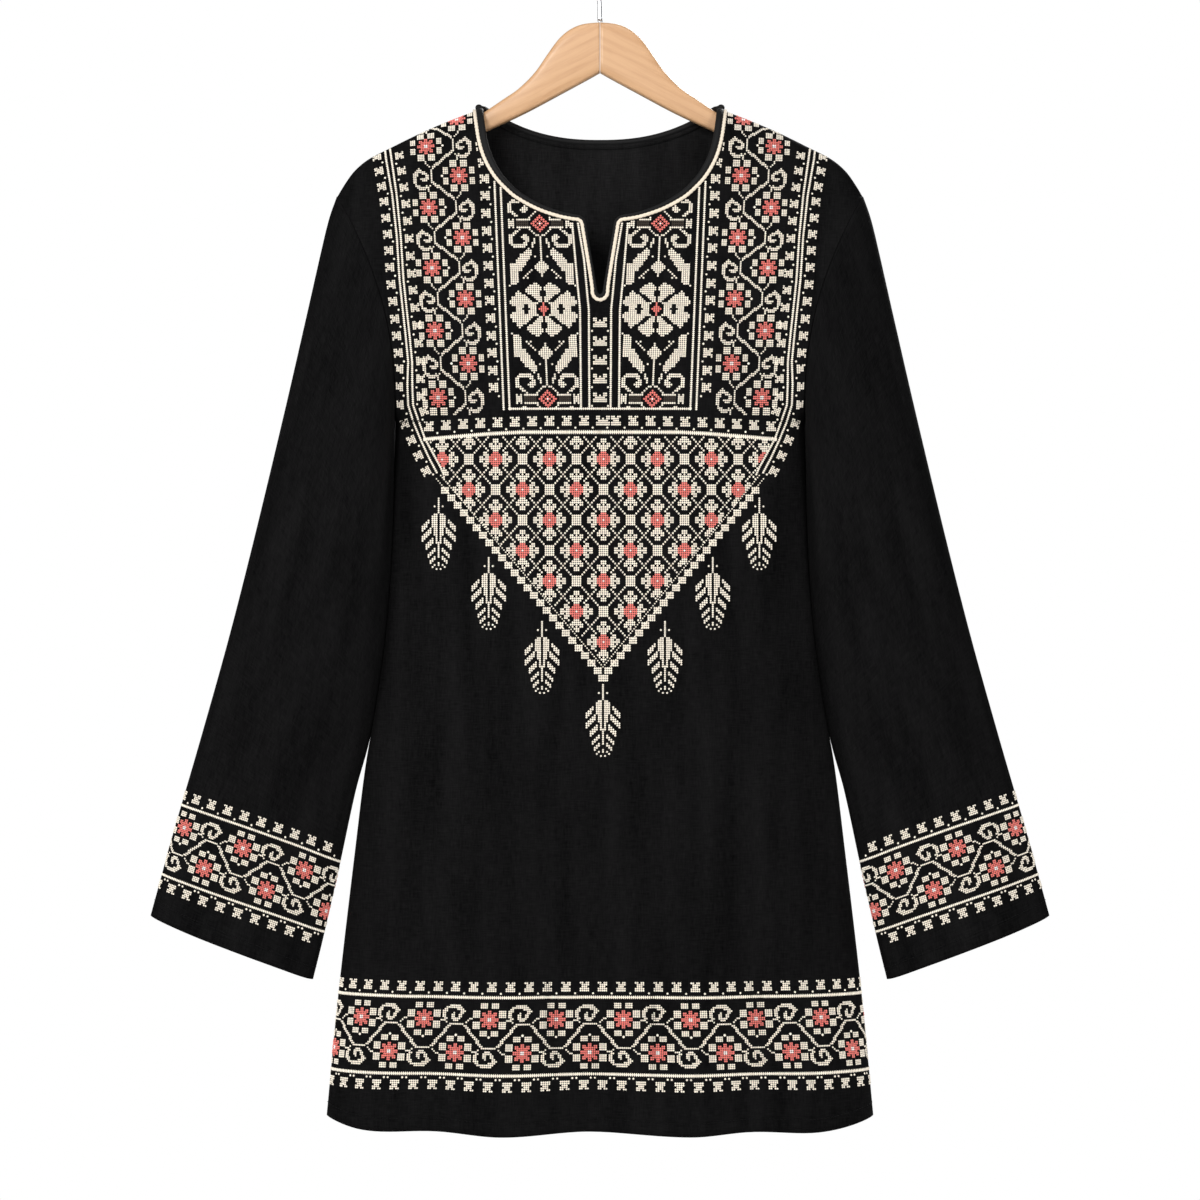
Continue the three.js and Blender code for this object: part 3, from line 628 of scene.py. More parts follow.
def sweep(points, across, radius, thick, sides, groove=0.0, plies=2, layLength=4.0, rounded=2.5):
    # an oval ring square to the line at each point, closing as a quarter circle towards both ends; the
    # plies' grooves wind round it with the length
    along = directions(points)
    radius = np.broadcast_to(radius, len(points))[:, None]
    first = across - (across * along).sum(1)[:, None] * along
    first /= np.linalg.norm(first, axis=1)[:, None]
    second = np.cross(along, first)
    run = runAlong(points)
    tip = np.clip(np.minimum(run, run[-1] - run) / rounded, 0, 1)
    radius = radius * np.sqrt(1 - (1 - tip) ** 2)[:, None]
    turn = 2 * np.pi * (np.arange(sides) + 0.5) / sides
    winding = turn[None, :] - 2 * np.pi * run[:, None] / (plies * layLength)
    ply = 1 - groove * (0.5 + 0.5 * np.cos(plies * winding))
    rings = points[:, None] + ply[..., None] * ((radius * np.cos(turn))[..., None] * first[:, None]
                                                + thick * np.sin(turn)[None, :, None] * second[:, None])
    rings = np.concatenate([points[:1, None].repeat(sides, 1), rings, points[-1:, None].repeat(sides, 1)])
    uv = np.stack([turn[None, :] * radius + 0 * run[:, None], run[:, None] + 0 * turn[None, :]], -1)
    uv = np.concatenate([uv[:1], uv, uv[-1:]])
    return rings.reshape(-1, 3), gridQuads(len(rings), sides, closed=True), uv.reshape(-1, 2) * 0.001


def makeBinding(name, face):
    size = trim["binding"]
    line = neckLine(face, False, -garment["cloth"] / 2, size["clear"], size["step"])
    rings, quads, uv = sweep(*line, size["thick"], size["sides"])
    return makePiece(name, rings, quads, bindingBlack, uv=uv)


bindingFront = makeBinding("neck_roll_front", front)
bindingBack = makeBinding("neck_roll_back", back)
braidSize = trim["braid"]
braidPath = neckLine(front, True, braidSize["above"], braidSize["clear"], braidSize["step"])
rings, quads, uv = sweep(*braidPath, braidSize["thick"], braidSize["sides"], braidSize["groove"],
                         braidSize["plies"], braidSize["layLength"])
braid = makePiece("neck_cord", rings, quads, threadDyed, uv=uv,
                  colours=np.tile(braidSize["cream"], (len(rings), 1)))
print("neck trims done")


# Charts are drawn: # cream, c coral, w white, b brown, o a larger cream bead half a cell to the
# right. Places on the yoke are counted in half stitches, across from the centre line and down from the
# crown of the wood.
stitch = {
    "half": 0.79, "yokeTop": -5.3,          # half a stitch, and the height that the count starts from
    "lift": 0.2, "sink": 0.2, "height": (0.17, 0.3), "bar": 0.29, "reach": 0.31, "ridge": 0.8,
    "running": (0.38, 0.28, 0.4),           # half length at the foot and at the ridge, and height
    "toneSpread": 0.05, "seed": 7, "bigBead": 1.45, "bead": 1.75, "beadsApart": 3.2,
    "threads": {"#": (0.925, 0.85, 0.73), "c": (0.84, 0.225, 0.19), "w": (0.97, 0.95, 0.93),
                "b": (0.035, 0.024, 0.015), "o": (0.95, 0.87, 0.75), "k": (0.004, 0.004, 0.0043)},
}
keys = "".join(stitch["threads"])

# the vine and its flowers: the upper half of one repeat. The lower half is the same, turned over and
# moved on by half a repeat.
vineHalf = (
    ".................................... "
    ".................................... "
    "....####..####...................... "
    "....####..####.........######....... "
    "....####..####.......#########...... "
    "....................##.....####..... "
    "####....cc....####.###.......###.... "
    "####.cc.cc.cc.####.##....#...##..... "
    "####.cccccccc.####.##...##..##...... "
    "####..cccccc..####.##...##..##...... "
    "....ccccwwcccc......##..#####.....## "
    "....ccccwwcccc....###....###.....#.. "
    "####..cccccc..####...#..........#... "
    "####.cccccccc.####.....########..... "
    "####.cc.cc.cc.####....##.......##... "
    "####....cc....####...##.........##.. "
    "....................##...........##. "
    "....####..####......##...........##. "
    "....####..####.....##.............## "
    "#...####..####....##......o........#").split()
castle = "##.## .#### .###. ##### #####".split()
wideCastle = "##...## ##.#.## .#####. ####### #######".split()
block = ["####"] * 3
# half of a hanging feather, from its middle outward
feather = (
    "#........ #........ #........ #........ #.#...... #........ #........ #........ .##...... .###..... "
    ".###..... .###.#... .###.##.. .###..##. .###..### .##.#..## .##.##..# .##.###.. .##..###. .#....### "
    ".#.#...## .#.##...# ##.###... #...###.. #....##.. #.#...#.. #.##..... #..##.... #...##... #.#..#... "
    "..##..... ...##.... #...#.... #.#...... ...#..... .#.......").split()
# a quarter of the panel beside the slit: from the middle of its rosette outward and down
panelQuarter = (
    "ccc.###....###... cc..####..####... c...####..######. c..############## .##...########### .###...#########. "
    ".####...########. ..####...#####... ..######...###... ..#######...#.... .########........ .#######......... "
    "..#####.........# ...##........###. ............####. ............####. .......#.#..####. #.......#...####. "
    "#......#....####. ##....#.....####. ###..#....######. ####......######. ####.....#######. ###.....########. "
    "##......#####.... #......######.... #.....######..... #..#..#####...... #....######...... #....####........ "
    "#....###......... #.....#.......... #...#...######... #...#..########.. #..##..##.....##. #..#..##......##. "
    "#..#..###.....##. #.....####....##. .##....##....###. ...#........##... c...#......##.... cc...#....#...... "
    ".cc..#######.#.#. c.cc..bbbbbb.###. wc.cc.bbbbbb.###. c.cc..bbbbbb.###. .cc..#######.#.#. cc...#........... "
    "c...#......##....").split()
# one flower of the lattice
latticeFlower = (
    ".......###....... .......###....... .....##.#.##..... .....#######..... ......#####...... .......###....... "
    "..##...ccc...##.. ..###.ccccc.###.. ##.##ccccccc##.## #####cccwccc##### ##.##ccccccc##.## ..###.ccccc.###.. "
    "..##...ccc...##.. .......###....... ......#####...... .....#######..... .....##.#.##..... .......###....... "
    ".......###.......").split()


def readChart(rows, halfWide=False, halfTall=False, fromTop=False):
    # cells of a chart counted right of its middle and up from it, and each one's thread; what is drawn
    # by half is mirrored
    cells = np.array([list(row) for row in rows])
    down, right = np.nonzero(cells != ".")
    thread = np.array([keys.index(key) for key in cells[down, right]], float)
    right = right - (0 if halfWide else (cells.shape[1] - 1) / 2)
    up = -(down - (0 if halfTall or fromTop else (cells.shape[0] - 1) / 2))
    if halfWide:
        other = right > 0
        right, up, thread = np.r_[right, -right[other]], np.r_[up, up[other]], np.r_[thread, thread[other]]
    if halfTall:
        other = up < 0
        right, up, thread = np.r_[right, right[other]], np.r_[up, -up[other]], np.r_[thread, thread[other]]
    return np.stack([right + 0.5 * (thread == keys.index("o")), up, thread], 1)


def beadSize(thread):
    # how large a stitch is for its thread: the beads of the vine are larger
    return np.where(thread == keys.index("o"), stitch["bigBead"], 1.0)


def lay(cells, u, v, wide, tall=None, lean=0.0):
    # stitches of a chart about u, v: each row is u, v, width, height, lean and thread
    tall = tall or wide
    x, z = cells[:, 0] * wide, cells[:, 1] * tall
    big = beadSize(cells[:, 2])
    cos, sin = math.cos(lean), math.sin(lean)
    return np.stack([u + x * cos - z * sin, v + x * sin + z * cos, wide * big, tall * big,
                     np.full(len(x), lean), cells[:, 2]], 1)


def mirrored(rows):
    return rows * np.array([-1, 1, 1, 1, -1, 1])


def layLine(points, step, thick, thread="#"):
    # a row of stitches along a line, each turned with it
    line = resample(np.array(points, float), step)
    along = np.gradient(line, axis=0)
    lean = np.arctan2(along[:, 1], along[:, 0])
    wide = np.full(len(line), np.linalg.norm(line[1] - line[0]) if len(line) > 1 else step)
    return np.stack([line[:, 0], line[:, 1], wide, np.full(len(line), thick), lean,
                     np.full(len(line), keys.index(thread))], 1)


def layCastles(points, spacing, out, side, size, beads=1, start=0.5, beadOut=3.3):
    # castles beside a line at even spacing, their prongs away from it, with beads between that touch it;
    # side 1 is to the left of the line's direction
    step = 0.5
    line = resample(np.array(points, float), step)
    along = directions(line)
    square = side * np.stack([-along[:, 1], along[:, 0]], 1)
    made = []
    for place in np.arange(start * spacing, len(line) * step - 0.3 * spacing, spacing):
        k = min(int(place / step), len(line) - 1)
        lean = math.atan2(-square[k, 0], square[k, 1])
        made.append(lay(castleCells, *(line[k] + out * square[k]), size, lean=lean))
        m = min(int((place + spacing / 2) / step), len(line) - 1)
        for b in range(beads):
            aside = (b - (beads - 1) / 2) * stitch["beadsApart"] * along[m]
            made.append(lay(dotCells, *(line[m] + beadOut * square[m] + aside), stitch["bead"], lean=lean))
    return np.concatenate(made)


castleCells, dotCells = readChart(castle), readChart(["#"])
vineTall, vineWide, flowerColumn = 2 * len(vineHalf), len(vineHalf[0]), 8.5
vineCells = np.array([(c, r, keys.index(vineHalf[r][c])) for r in range(vineTall // 2) for c in range(vineWide)
                      if vineHalf[r][c] != "."], float)
c, r, thread = vineCells.T
turned = np.stack([(c + vineWide / 2) % vineWide, vineTall - 1 - r, thread], 1)
vineCells = np.concatenate([vineCells, turned])
vineCells[:, 0] += 0.5 * (vineCells[:, 2] == keys.index("o"))


def layVine(repeats, wide, tall, place):
    # the chart carried on over a run of repeats; place(along, across) gives u, v and the lean, and along
    # is counted in repeats, across in cells from the middle
    many = np.concatenate([vineCells + [vineWide * k, 0, 0] for k in repeats])
    u, v, lean = place((many[:, 0] - flowerColumn) / vineWide, (vineTall - 1) / 2 - many[:, 1])
    big = beadSize(many[:, 2])
    return np.stack([u, v, wide * big, tall * big, lean + 0 * u, many[:, 2]], 1)


def stitchShape():
    # corners of a cross's two bars and of a plain running stitch, in cells across and up, with the ridge's
    # height in millimetres, and the triangles between them
    r, w, (low, high) = stitch["reach"], stitch["bar"] * 0.7071, stitch["height"]
    ridge, (foot, crest, up) = stitch["ridge"], stitch["running"]
    bar = np.array([(-r - w, -r + w, 0), (-r + w, -r - w, 0), (r - w, r + w, 0), (r + w, r - w, 0),
                    (-r * ridge, -r * ridge, 1), (r * ridge, r * ridge, 1)])
    run = np.array([(-foot, 0.5, 0), (-foot, -0.5, 0), (foot, 0.5, 0), (foot, -0.5, 0),
                    (-crest, 0, up), (crest, 0, up)])
    sides = np.array([(1, 3, 5), (1, 5, 4), (2, 0, 4), (2, 4, 5), (0, 1, 4), (3, 2, 5)])
    cross = np.concatenate([bar * (1, 1, low), bar * (-1, 1, high)])
    return (cross, np.concatenate([sides, sides[:, ::-1] + 6])), (run, sides)


crossStitch, runningStitch = stitchShape()


def makeStitches(name, surface, rows, allowed=None, shape=crossStitch, material=threadDyed):
    # each stitch's corners are set out in cells along the cloth's own two directions there, its ridge
    # along the direction square to them, and its feet sink into the cloth
    if allowed is not None:
        rows = rows[allowed(rows[:, 0], rows[:, 1])]
    u, v, wide, tall, lean, thread = rows.T
    step = 0.5
    place = surface(u, v)
    across = (surface(u + step, v) - surface(u - step, v)) / (2 * step)
    upward = (surface(u, v + step) - surface(u, v - step)) / (2 * step)
    outward = np.cross(across, upward)
    outward /= np.linalg.norm(outward, axis=1)[:, None]
    cos, sin = np.cos(lean)[:, None], np.sin(lean)[:, None]
    right = (across * cos + upward * sin) * wide[:, None]
    up = (upward * cos - across * sin) * tall[:, None]
    corners, sides = shape
    points = (place[:, None] + corners[:, :1] * right[:, None] + corners[:, 1:2] * up[:, None]
              + (stitch["lift"] + corners[:, 2:] - stitch["sink"] * (corners[:, 2:] == 0)) * outward[:, None])
    faces = (sides[None] + len(corners) * np.arange(len(rows))[:, None, None]).reshape(-1, 3)
    tints = np.array(list(stitch["threads"].values()))[thread.astype(int)]
    tone = 1 + stitch["toneSpread"] * np.random.default_rng(stitch["seed"]).standard_normal((len(rows), 1))
    colours = np.repeat(np.clip(tints * tone, 0, 1), len(corners), axis=0)
    piece = makePiece(name, points.reshape(-1, 3), faces, material, smooth=False, colours=colours)
    print(name, len(rows), "stitches")
    return piece


def heightFromRun(x, run):
    # height on the yoke, where up is counted by the cloth's running length over the shoulder: walks up each
    # column in short steps from below the shoulder's rounding and adds their lengths
    steps = 40
    top = shoulderHeight(x)
    base = top - garment["shoulderRound"]
    share = 1 - (1 - np.linspace(0, 1, steps)) ** 2
    z = base[:, None] + garment["shoulderRound"] * share
    depth = panelDepth(np.broadcast_to(x[:, None], z.shape), z, front)
    lengths = np.hypot(np.diff(z, axis=1), np.diff(depth, axis=1))
    total = base[:, None] + np.concatenate([np.zeros((len(x), 1)), np.cumsum(lengths, 1)], 1)
    i = np.clip((total <= run[:, None]).sum(1) - 1, 0, steps - 2)
    rowsAt = np.arange(len(x))
    part = (run - total[rowsAt, i]) / (total[rowsAt, i + 1] - total[rowsAt, i])
    inside = z[rowsAt, i] + np.minimum(part, 1) * (z[rowsAt, i + 1] - z[rowsAt, i])
    return np.where(run < base, run, inside), np.where(run < base, False, part > 1)


def yokeSurface(u, v):
    # place on the front for a place across and a running height
    z, _ = heightFromRun(u, v)
    return panelPoint(u, z, front)


neckEdge = frontNeckEdge(1.5)
neckClear = offsetInto(neckEdge, insetAt(neckEdge, front) + trim["braid"]["radius"] + 0.9, cap=False)[0]
neckClear = np.concatenate([neckClear, [[neckClear[-1, 0], 40], [0, 40]]])


def outsideNeck(x, z):
    # even-odd test of each place against the neck's outline moved into the cloth
    x = np.abs(x)
    ax, az = neckClear.T
    bx, bz = np.roll(ax, -1), np.roll(az, -1)
    crosses = (az[None] > z[:, None]) != (bz[None] > z[:, None])
    with np.errstate(divide="ignore", invalid="ignore"):
        at = ax + (z[:, None] - az) * (bx - ax) / (bz - az)
    return (crosses & (x[:, None] < at)).sum(1) % 2 == 0


def onYoke(u, v):
    # true where the cloth shows: outside the trims, and clear of the side and the shoulder
    z, over = heightFromRun(u, v)
    side, top = yoke["clear"]
    return ~over & outsideNeck(u, z) & (np.abs(u) < panelHalf(z) - side) & (z < shoulderHeight(u) - top)


h = stitch["half"]


def counted(points):
    # places in half stitches to millimetres
    points = np.array(points, float)
    return np.stack([h * points[..., 0], stitch["yokeTop"] - h * points[..., 1]], -1)


yoke = {
    "outerLine": [(-218, 112), (-216, 130), (-209, 170), (-204, 213), (-201, 257), (-195, 312), (-192.5, 339),
                  (-193.5, 362), (-193, 382), (-188, 399), (-180, 418), (-172, 435), (-164, 450)],
    "innerLine": [(-213, 112), (-210.5, 130), (-204.5, 170), (-200, 213), (-197, 257), (-191, 312),
                  (-188.5, 339), (-188.5, 362), (-188, 382), (-182.5, 398), (-176, 416), (-160, 445),
                  (-157, 452)],
    "castleLine": [(-113, 105), (-107, 150), (-96.5, 387)],
    # along which line and how many of its points, spacing, how far out, side, size, start
    "castles": [("outerLine", None, 17.2, 9.0, -1, 1.8, 0.75), ("innerLine", 10, 17.6, 8.4, 1, 1.75, 0.95),
                ("castleLine", None, 17.5, 9.2, -1, 1.9, 0.9)],
    "linePitch": 2.05, "lineWide": 2.4, "baseWide": 2.6, "archWide": 4.2,
    "innerLines": [[(-107, 130), (-96.5, 387)], [(-101, 130), (-90.5, 387)],
                   [(-28, 199), (-27, 211), (-23, 257), (-20, 287), (-19, 386)],
                   [(-22, 201), (-16, 237), (-12.5, 274.5), (-11.2, 287), (-10.6, 386)]],
    "baseLine": [(-91, 386.5), (0, 386.5)],
    "arch": [(-177, 416.5), (-150, 414.5), (-130, 413), (-110, 411.5), (-80, 410), (0, 410)],
    # middle of the vine and the flowers' heights, for flower 0 at the foot to 4 at the top
    "vineHeight": [(-1, 447), (0, 375), (1, 308), (2, 245), (3, 184), (4, 119), (5, 52)],
    "vineMiddle": [(52, -162), (119, -159.5), (245, -152.5), (375, -146.5), (447, -143)],
    "vineAcross": 1.78, "vineCell": (1.72, 1.8), "vineLean": math.pi / 2 - 0.045, "vineFoot": 394,
    "clear": (1.2, 0.8),          # from the side seam and the shoulder
    # above its top diamond the panel turns round: the chart's rows 39 back to 31 come again, 49 cells up
    "panel": {"middle": (-56.5, 286.5), "lean": 0.046, "cell": 2.05, "upper": 0.95,
              "again": (39, 30), "turn": 49},
    "strip": [(0, 300 + 18.8 * k) for k in range(5)],
    "castleRow": [(-16 - 17.35 * k, 398.5 + 0.06 * k * k) for k in range(10)],
    "lattice": {"middle": (3.5, 437), "cell": (1.93, 2.18), "top": 414.5, "tip": (3, 645), "corner": (160, 457),
                "apart": 14, "edgeClear": (1.5, 3.6), "columns": range(-8, 9), "rows": range(-2, 17)},
    # down both slanted edges: two dotted lines, then stepped blocks
    "slant": {"shifts": ((0, 0), (4.2, 3.4)), "pitch": 2.72, "size": (1.6, 1.5), "blocks": range(2, 28),
              "blocksWhole": 25.5, "blockOut": 8.4, "block": (2.0, 2.3), "above": 4},
    # in half stitches: a castle's and a feather's cell, and how far beside and below a castle its bead lies
    "castleCell": 2.0, "stripCell": (2.0, 1.95), "featherCell": (2.05, 2.03), "archCastle": (3, 398.5),
    "rowBead": (8.7, 7), "stripBead": (8, 8.6), "stripBeadSize": 1.7,
    "feathers": [(-162, 476), (-111.5, 536), (-58, 600), (3, 663), (65, 600), (113, 536), (160, 476)],
}


def yokeSide():
    # everything on one half of the yoke above the arch
    made = [layLine(counted(line), yoke["linePitch"] * h, yoke["lineWide"] * h)
            for line in (yoke["outerLine"], yoke["innerLine"], *yoke["innerLines"])]
    made.append(layLine(counted(yoke["baseLine"]), yoke["linePitch"] * h, yoke["baseWide"] * h))
    for name, points, spacing, out, side, size, start in yoke["castles"]:
        line = counted(yoke[name])[:points]
        made.append(layCastles(line, spacing * h, out * h, side, size * h, start=start))

    def vinePlace(along, across):
        down = alongTable(yoke["vineHeight"], along)
        middle = alongTable(yoke["vineMiddle"], down)
        spot = counted(np.stack([middle - across * yoke["vineAcross"], down], -1))
        return spot[:, 0], spot[:, 1], np.full(len(along), yoke["vineLean"])

    vine = layVine(range(5), *(cell * h for cell in yoke["vineCell"]), vinePlace)
    made.append(vine[vine[:, 1] > counted([(0, yoke["vineFoot"])])[0, 1]])
    p = yoke["panel"]
    above = readChart(panelQuarter[slice(*p["again"], -1)], halfWide=True, fromTop=True)
    above[:, 1] = p["turn"] - above[:, 1]
    cells = np.concatenate([readChart(panelQuarter, halfWide=True, halfTall=True), above])
    middle = counted([p["middle"]])[0]
    panel = lay(cells, *middle, p["cell"] * h)
    upper = panel[:, 1] > middle[1]
    panel[upper, 1] = middle[1] + p["upper"] * (panel[upper, 1] - middle[1])
    panel[upper, 3] *= p["upper"]
    panel[:, 0] -= (panel[:, 1] - middle[1]) * p["lean"]
    made.append(panel)
    out, below = yoke["rowBead"]
    for spot in counted(yoke["castleRow"]):
        made.append(lay(castleCells, *spot, yoke["castleCell"] * h))
        made.append(lay(dotCells, spot[0] + out * h, spot[1] - below * h, stitch["bead"]))
    made = np.concatenate(made)
    return np.concatenate([made, mirrored(made)])


def yokeLattice():
    # flowers at every other crossing of an even grid, squares at the rest, and dotted diagonals between
    lattice = yoke["lattice"]
    wide, tall = lattice["cell"][0] * h, lattice["cell"][1] * h
    middle = counted([lattice["middle"]])[0]
    apart, (edgeClear, slantClear) = lattice["apart"], lattice["edgeClear"]
    flower, square = readChart(latticeFlower), readChart(["#####"] * 5)
    diagonal = np.array([(a * k, b * k, 0) for a in (-1, 1) for b in (-1, 1) for k in (4, 5, 6, 7)], float)
    corner = np.array([(a * k, b * k, 0) for a in (-1, 1) for b in (-1, 1) for k in (3, 4, 5, 6)], float)
    made = []
    for i in lattice["columns"]:
        for j in lattice["rows"]:
            u, v = middle[0] + apart * wide * i, middle[1] - apart * tall * j
            isFlower = (i + j) % 2 == 0
            for cells in ((flower, diagonal) if isFlower else (square, corner)):
                made.append(lay(cells, u, v, wide, tall))
    made = np.concatenate(made)
    (cornerX, cornerY), (tipX, tipY) = lattice["corner"], lattice["tip"]
    x, y = made[:, 0] / h, (stitch["yokeTop"] - made[:, 1]) / h
    border = np.array([(-y0, x0) for x0, y0 in yoke["innerLine"][9:12]])
    edge = np.where(y < cornerY, np.interp(y, -border[:, 0], -border[:, 1]), 0)
    slant = (y - cornerY) / (tipY - cornerY)
    left = np.where(y < cornerY, -edge + edgeClear, -cornerX + slant * (tipX + cornerX) + slantClear)
    right = np.where(y < cornerY, edge - edgeClear, cornerX + slant * (tipX - cornerX) - slantClear)
    inside = (y > lattice["top"]) & (x > left) & (x < right)
    return made[inside]


def yokeEdge():
    # the dotted lines and the stepped blocks down both slanted edges, the arch, the strip and the feathers
    (cornerX, cornerY), tip = yoke["lattice"]["corner"], yoke["lattice"]["tip"]
    made = [layLine(counted(yoke["arch"]), yoke["linePitch"] * h, yoke["archWide"] * h)]
    made.append(mirrored(made[0]))
    blockCells, wideCells = readChart(block), readChart(wideCastle)
    featherCells = readChart(feather, halfWide=True, fromTop=True)
    slant = yoke["slant"]
    for side in (-1, 1):
        start = np.array([side * cornerX, cornerY - slant["above"]])
        end = np.array(tip, float)
        for aside, down in slant["shifts"]:
            dots = np.array([start, end]) + (side * aside, down)
            line = layLine(counted(dots), slant["pitch"] * h, slant["size"][1] * h)
            line[:, 2], line[:, 4] = slant["size"][0] * h, 0
            made.append(line)
        for k in slant["blocks"]:
            spot = start + (end - start) * k / slant["blocksWhole"] + np.array([side * slant["blockOut"], 0])
            made.append(lay(blockCells, *counted([spot])[0], *(size * h for size in slant["block"])))
    made.append(lay(wideCells, *counted([yoke["archCastle"]])[0], yoke["castleCell"] * h))
    out, below = yoke["stripBead"]
    for spot in counted(yoke["strip"]):
        made.append(lay(wideCells, *spot, *(size * h for size in yoke["stripCell"])))
        for side in (-1, 1):
            made.append(lay(dotCells, side * out * h, spot[1] - below * h, yoke["stripBeadSize"]))
    for spot in counted(yoke["feathers"]):
        made.append(lay(featherCells, *spot, *(size * h for size in yoke["featherCell"])))
    return np.concatenate(made)


yokeUpper = makeStitches("yoke_panels", yokeSurface, yokeSide(), onYoke)
yokeLower = makeStitches("yoke_lattice", yokeSurface, np.concatenate([yokeLattice(), yokeEdge()]), onYoke)

# the hem's band: along is the running length round the body at the band's middle, from the front's centre
# line towards +X and on round the back
hemBand = {"upper": -775.3, "lower": -836.2, "repeats": 17, "start": -7.9, "castles": 61,
           "line": 2.75, "lineStep": 1.6, "castleOut": (8.3, 8.8), "castleSize": 1.55, "beadOut": 3.1,
           "sideClear": 1.0, "topstitchClear": 2}


def ringRun(face):
    # shares of the half width at the band's middle height, and the running length from the centre line
    share = np.sin(np.linspace(-np.pi / 2, np.pi / 2, 600))
    z = (hemBand["upper"] + hemBand["lower"]) / 2
    points = panelPoint(share * panelHalf(z), z, face)
    run = runAlong(points)
    return share, run - run[-1] / 2


frontShare, frontRun = ringRun(front)
backShare, backRun = ringRun(back)
ringLength = 2 * (frontRun[-1] + backRun[-1])


def hemSurface(u, v):
    # place on the front or the back for a running length round the body and a height
    u = np.mod(u + frontRun[-1], ringLength) - frontRun[-1]
    onFront = u <= frontRun[-1]
    along = np.where(onFront, u, backRun[-1] - (u - frontRun[-1]))
    half = panelHalf(v)
    frontPoints = panelPoint(np.interp(along, frontRun, frontShare) * half, v, front)
    backPoints = panelPoint(np.interp(along, backRun, backShare) * half, v, back)
    return np.where(onFront[:, None], frontPoints, backPoints)


def clearOfSides(u, v):
    # leaves out the stitches whose middle is too near a side seam
    u = np.mod(u + frontRun[-1], ringLength)
    return np.minimum(np.minimum(u, ringLength - u), np.abs(u - 2 * frontRun[-1])) > hemBand["sideClear"]


def bandRows(sizes, ends, levels, repeats, pitch, start, spacing):
    # the vine between two lines, and castles with beads outside both; across them a cell is a fortieth
    # of the height left between the lines
    upper, lower = levels
    cell = (upper - lower - sizes["line"]) / vineTall

    def place(along, across):
        return start + along * pitch, (upper + lower) / 2 + across * cell, 0

    made = [layVine(range(repeats), pitch / vineWide, cell, place)]
    for height, side in ((upper, 1), (lower, -1)):
        line = [(ends[0], height), (ends[1], height)]
        made.append(layLine(line, sizes["lineStep"], sizes["line"]))
        made.append(layCastles(line, spacing, sizes["castleOut"][side < 0], side, sizes["castleSize"],
                               beads=1 if side > 0 else 2, beadOut=sizes["beadOut"]))
    return np.concatenate(made)


hemPitch = ringLength / hemBand["repeats"]
hemRows = bandRows(hemBand, (-frontRun[-1], -frontRun[-1] + ringLength), (hemBand["upper"], hemBand["lower"]),
                   hemBand["repeats"], hemPitch, hemBand["start"] - hemPitch / 2, ringLength / hemBand["castles"])
hemBandPiece = makeStitches("hem_band", hemSurface, hemRows, clearOfSides)

# the cuffs' bands: along is the running length round the sleeve from its outer edge, positive on the
# front, and both ends meet at the sleeve's own seam
cuffBand = {"upper": (0.816, 0.0287), "lower": (0.927, 0.014), "height": 57.6, "repeat": 52.5, "start": 26.2,
            "line": 2.2, "lineStep": 1.58, "castleOut": (8.0, 8.2), "castleSize": 1.5, "castleSpacing": 14.5,
            "beadOut": 3.0, "fromSeam": 20, "seamClear": (0.5, 1, 2)}       # of lines, stitches, topstitch


def sleeveRing(side, share):
    # places round the sleeve at a share of the way down the band, from the seam round the outer edge
    turn = np.linspace(-180, 180, 721)
    run = runAlong(sleevePoint(bandDown(turn, share), turn, side))
    return turn, run - run[len(turn) // 2]


def bandDown(turn, share):
    # how far down the sleeve: each of the band's two lines is a middle plus a part of the cosine
    cos = np.cos(np.radians(turn))
    up = cuffBand["upper"][0] + cuffBand["upper"][1] * cos
    low = cuffBand["lower"][0] + cuffBand["lower"][1] * cos
    return up + (low - up) * share


def cuffPiece(name, side):
    # u is the running length round the sleeve, turned over on the right one, and v is down the band
    turn, run = sleeveRing(side, 0.5)
    height, (lineClear, clear, topClear) = cuffBand["height"], cuffBand["seamClear"]

    def surface(u, v):
        at = np.interp(-u * side, run, turn)
        return sleevePoint(bandDown(at, -v / height), at, side)

    pitch = cuffBand["repeat"]
    repeats = int((run[-1] - run[0]) / pitch) + 3
    ends = run[0] + lineClear, run[-1] - lineClear
    made = bandRows(cuffBand, ends, (0.0, -height), repeats, pitch,
                    run[0] - cuffBand["fromSeam"] + cuffBand["start"] - pitch, cuffBand["castleSpacing"])
    made[:, 0] *= -1
    made[:, 4] *= -1
    if side < 0:
        made = mirrored(made)
    piece = makeStitches(name, surface, made,
                         lambda u, v: (-u * side > run[0] + clear) & (-u * side < run[-1] - clear))
    return piece, surface, np.arange(run[0] + topClear, run[-1] - topClear, topstitch["pitch"])


topstitch = {"pitch": 2.9, "thread": 0.5, "hemRise": 10.5, "cuffDown": 0.978, "neckBelow": 6.4}


def topstitchRows(u, v):
    # level running stitches at the given places
    count = len(u)
    return np.stack([u, v, np.full(count, topstitch["pitch"]), np.full(count, topstitch["thread"]),
                     np.zeros(count), np.full(count, keys.index("k"))], 1)


def cuffTopstitch(name, side, surface, run):
    # a running stitch beside the cuff's edge, at one share of the way down the sleeve
    ringTurn, ringRun = sleeveRing(side, 0.5)
    turn = np.interp(run, ringRun, ringTurn)
    up, low = bandDown(turn, 0), bandDown(turn, 1)
    v = -cuffBand["height"] * (topstitch["cuffDown"] - up) / (low - up)
    return makeStitches(name, surface, topstitchRows(-run * side, v), None, runningStitch, threadSewing)


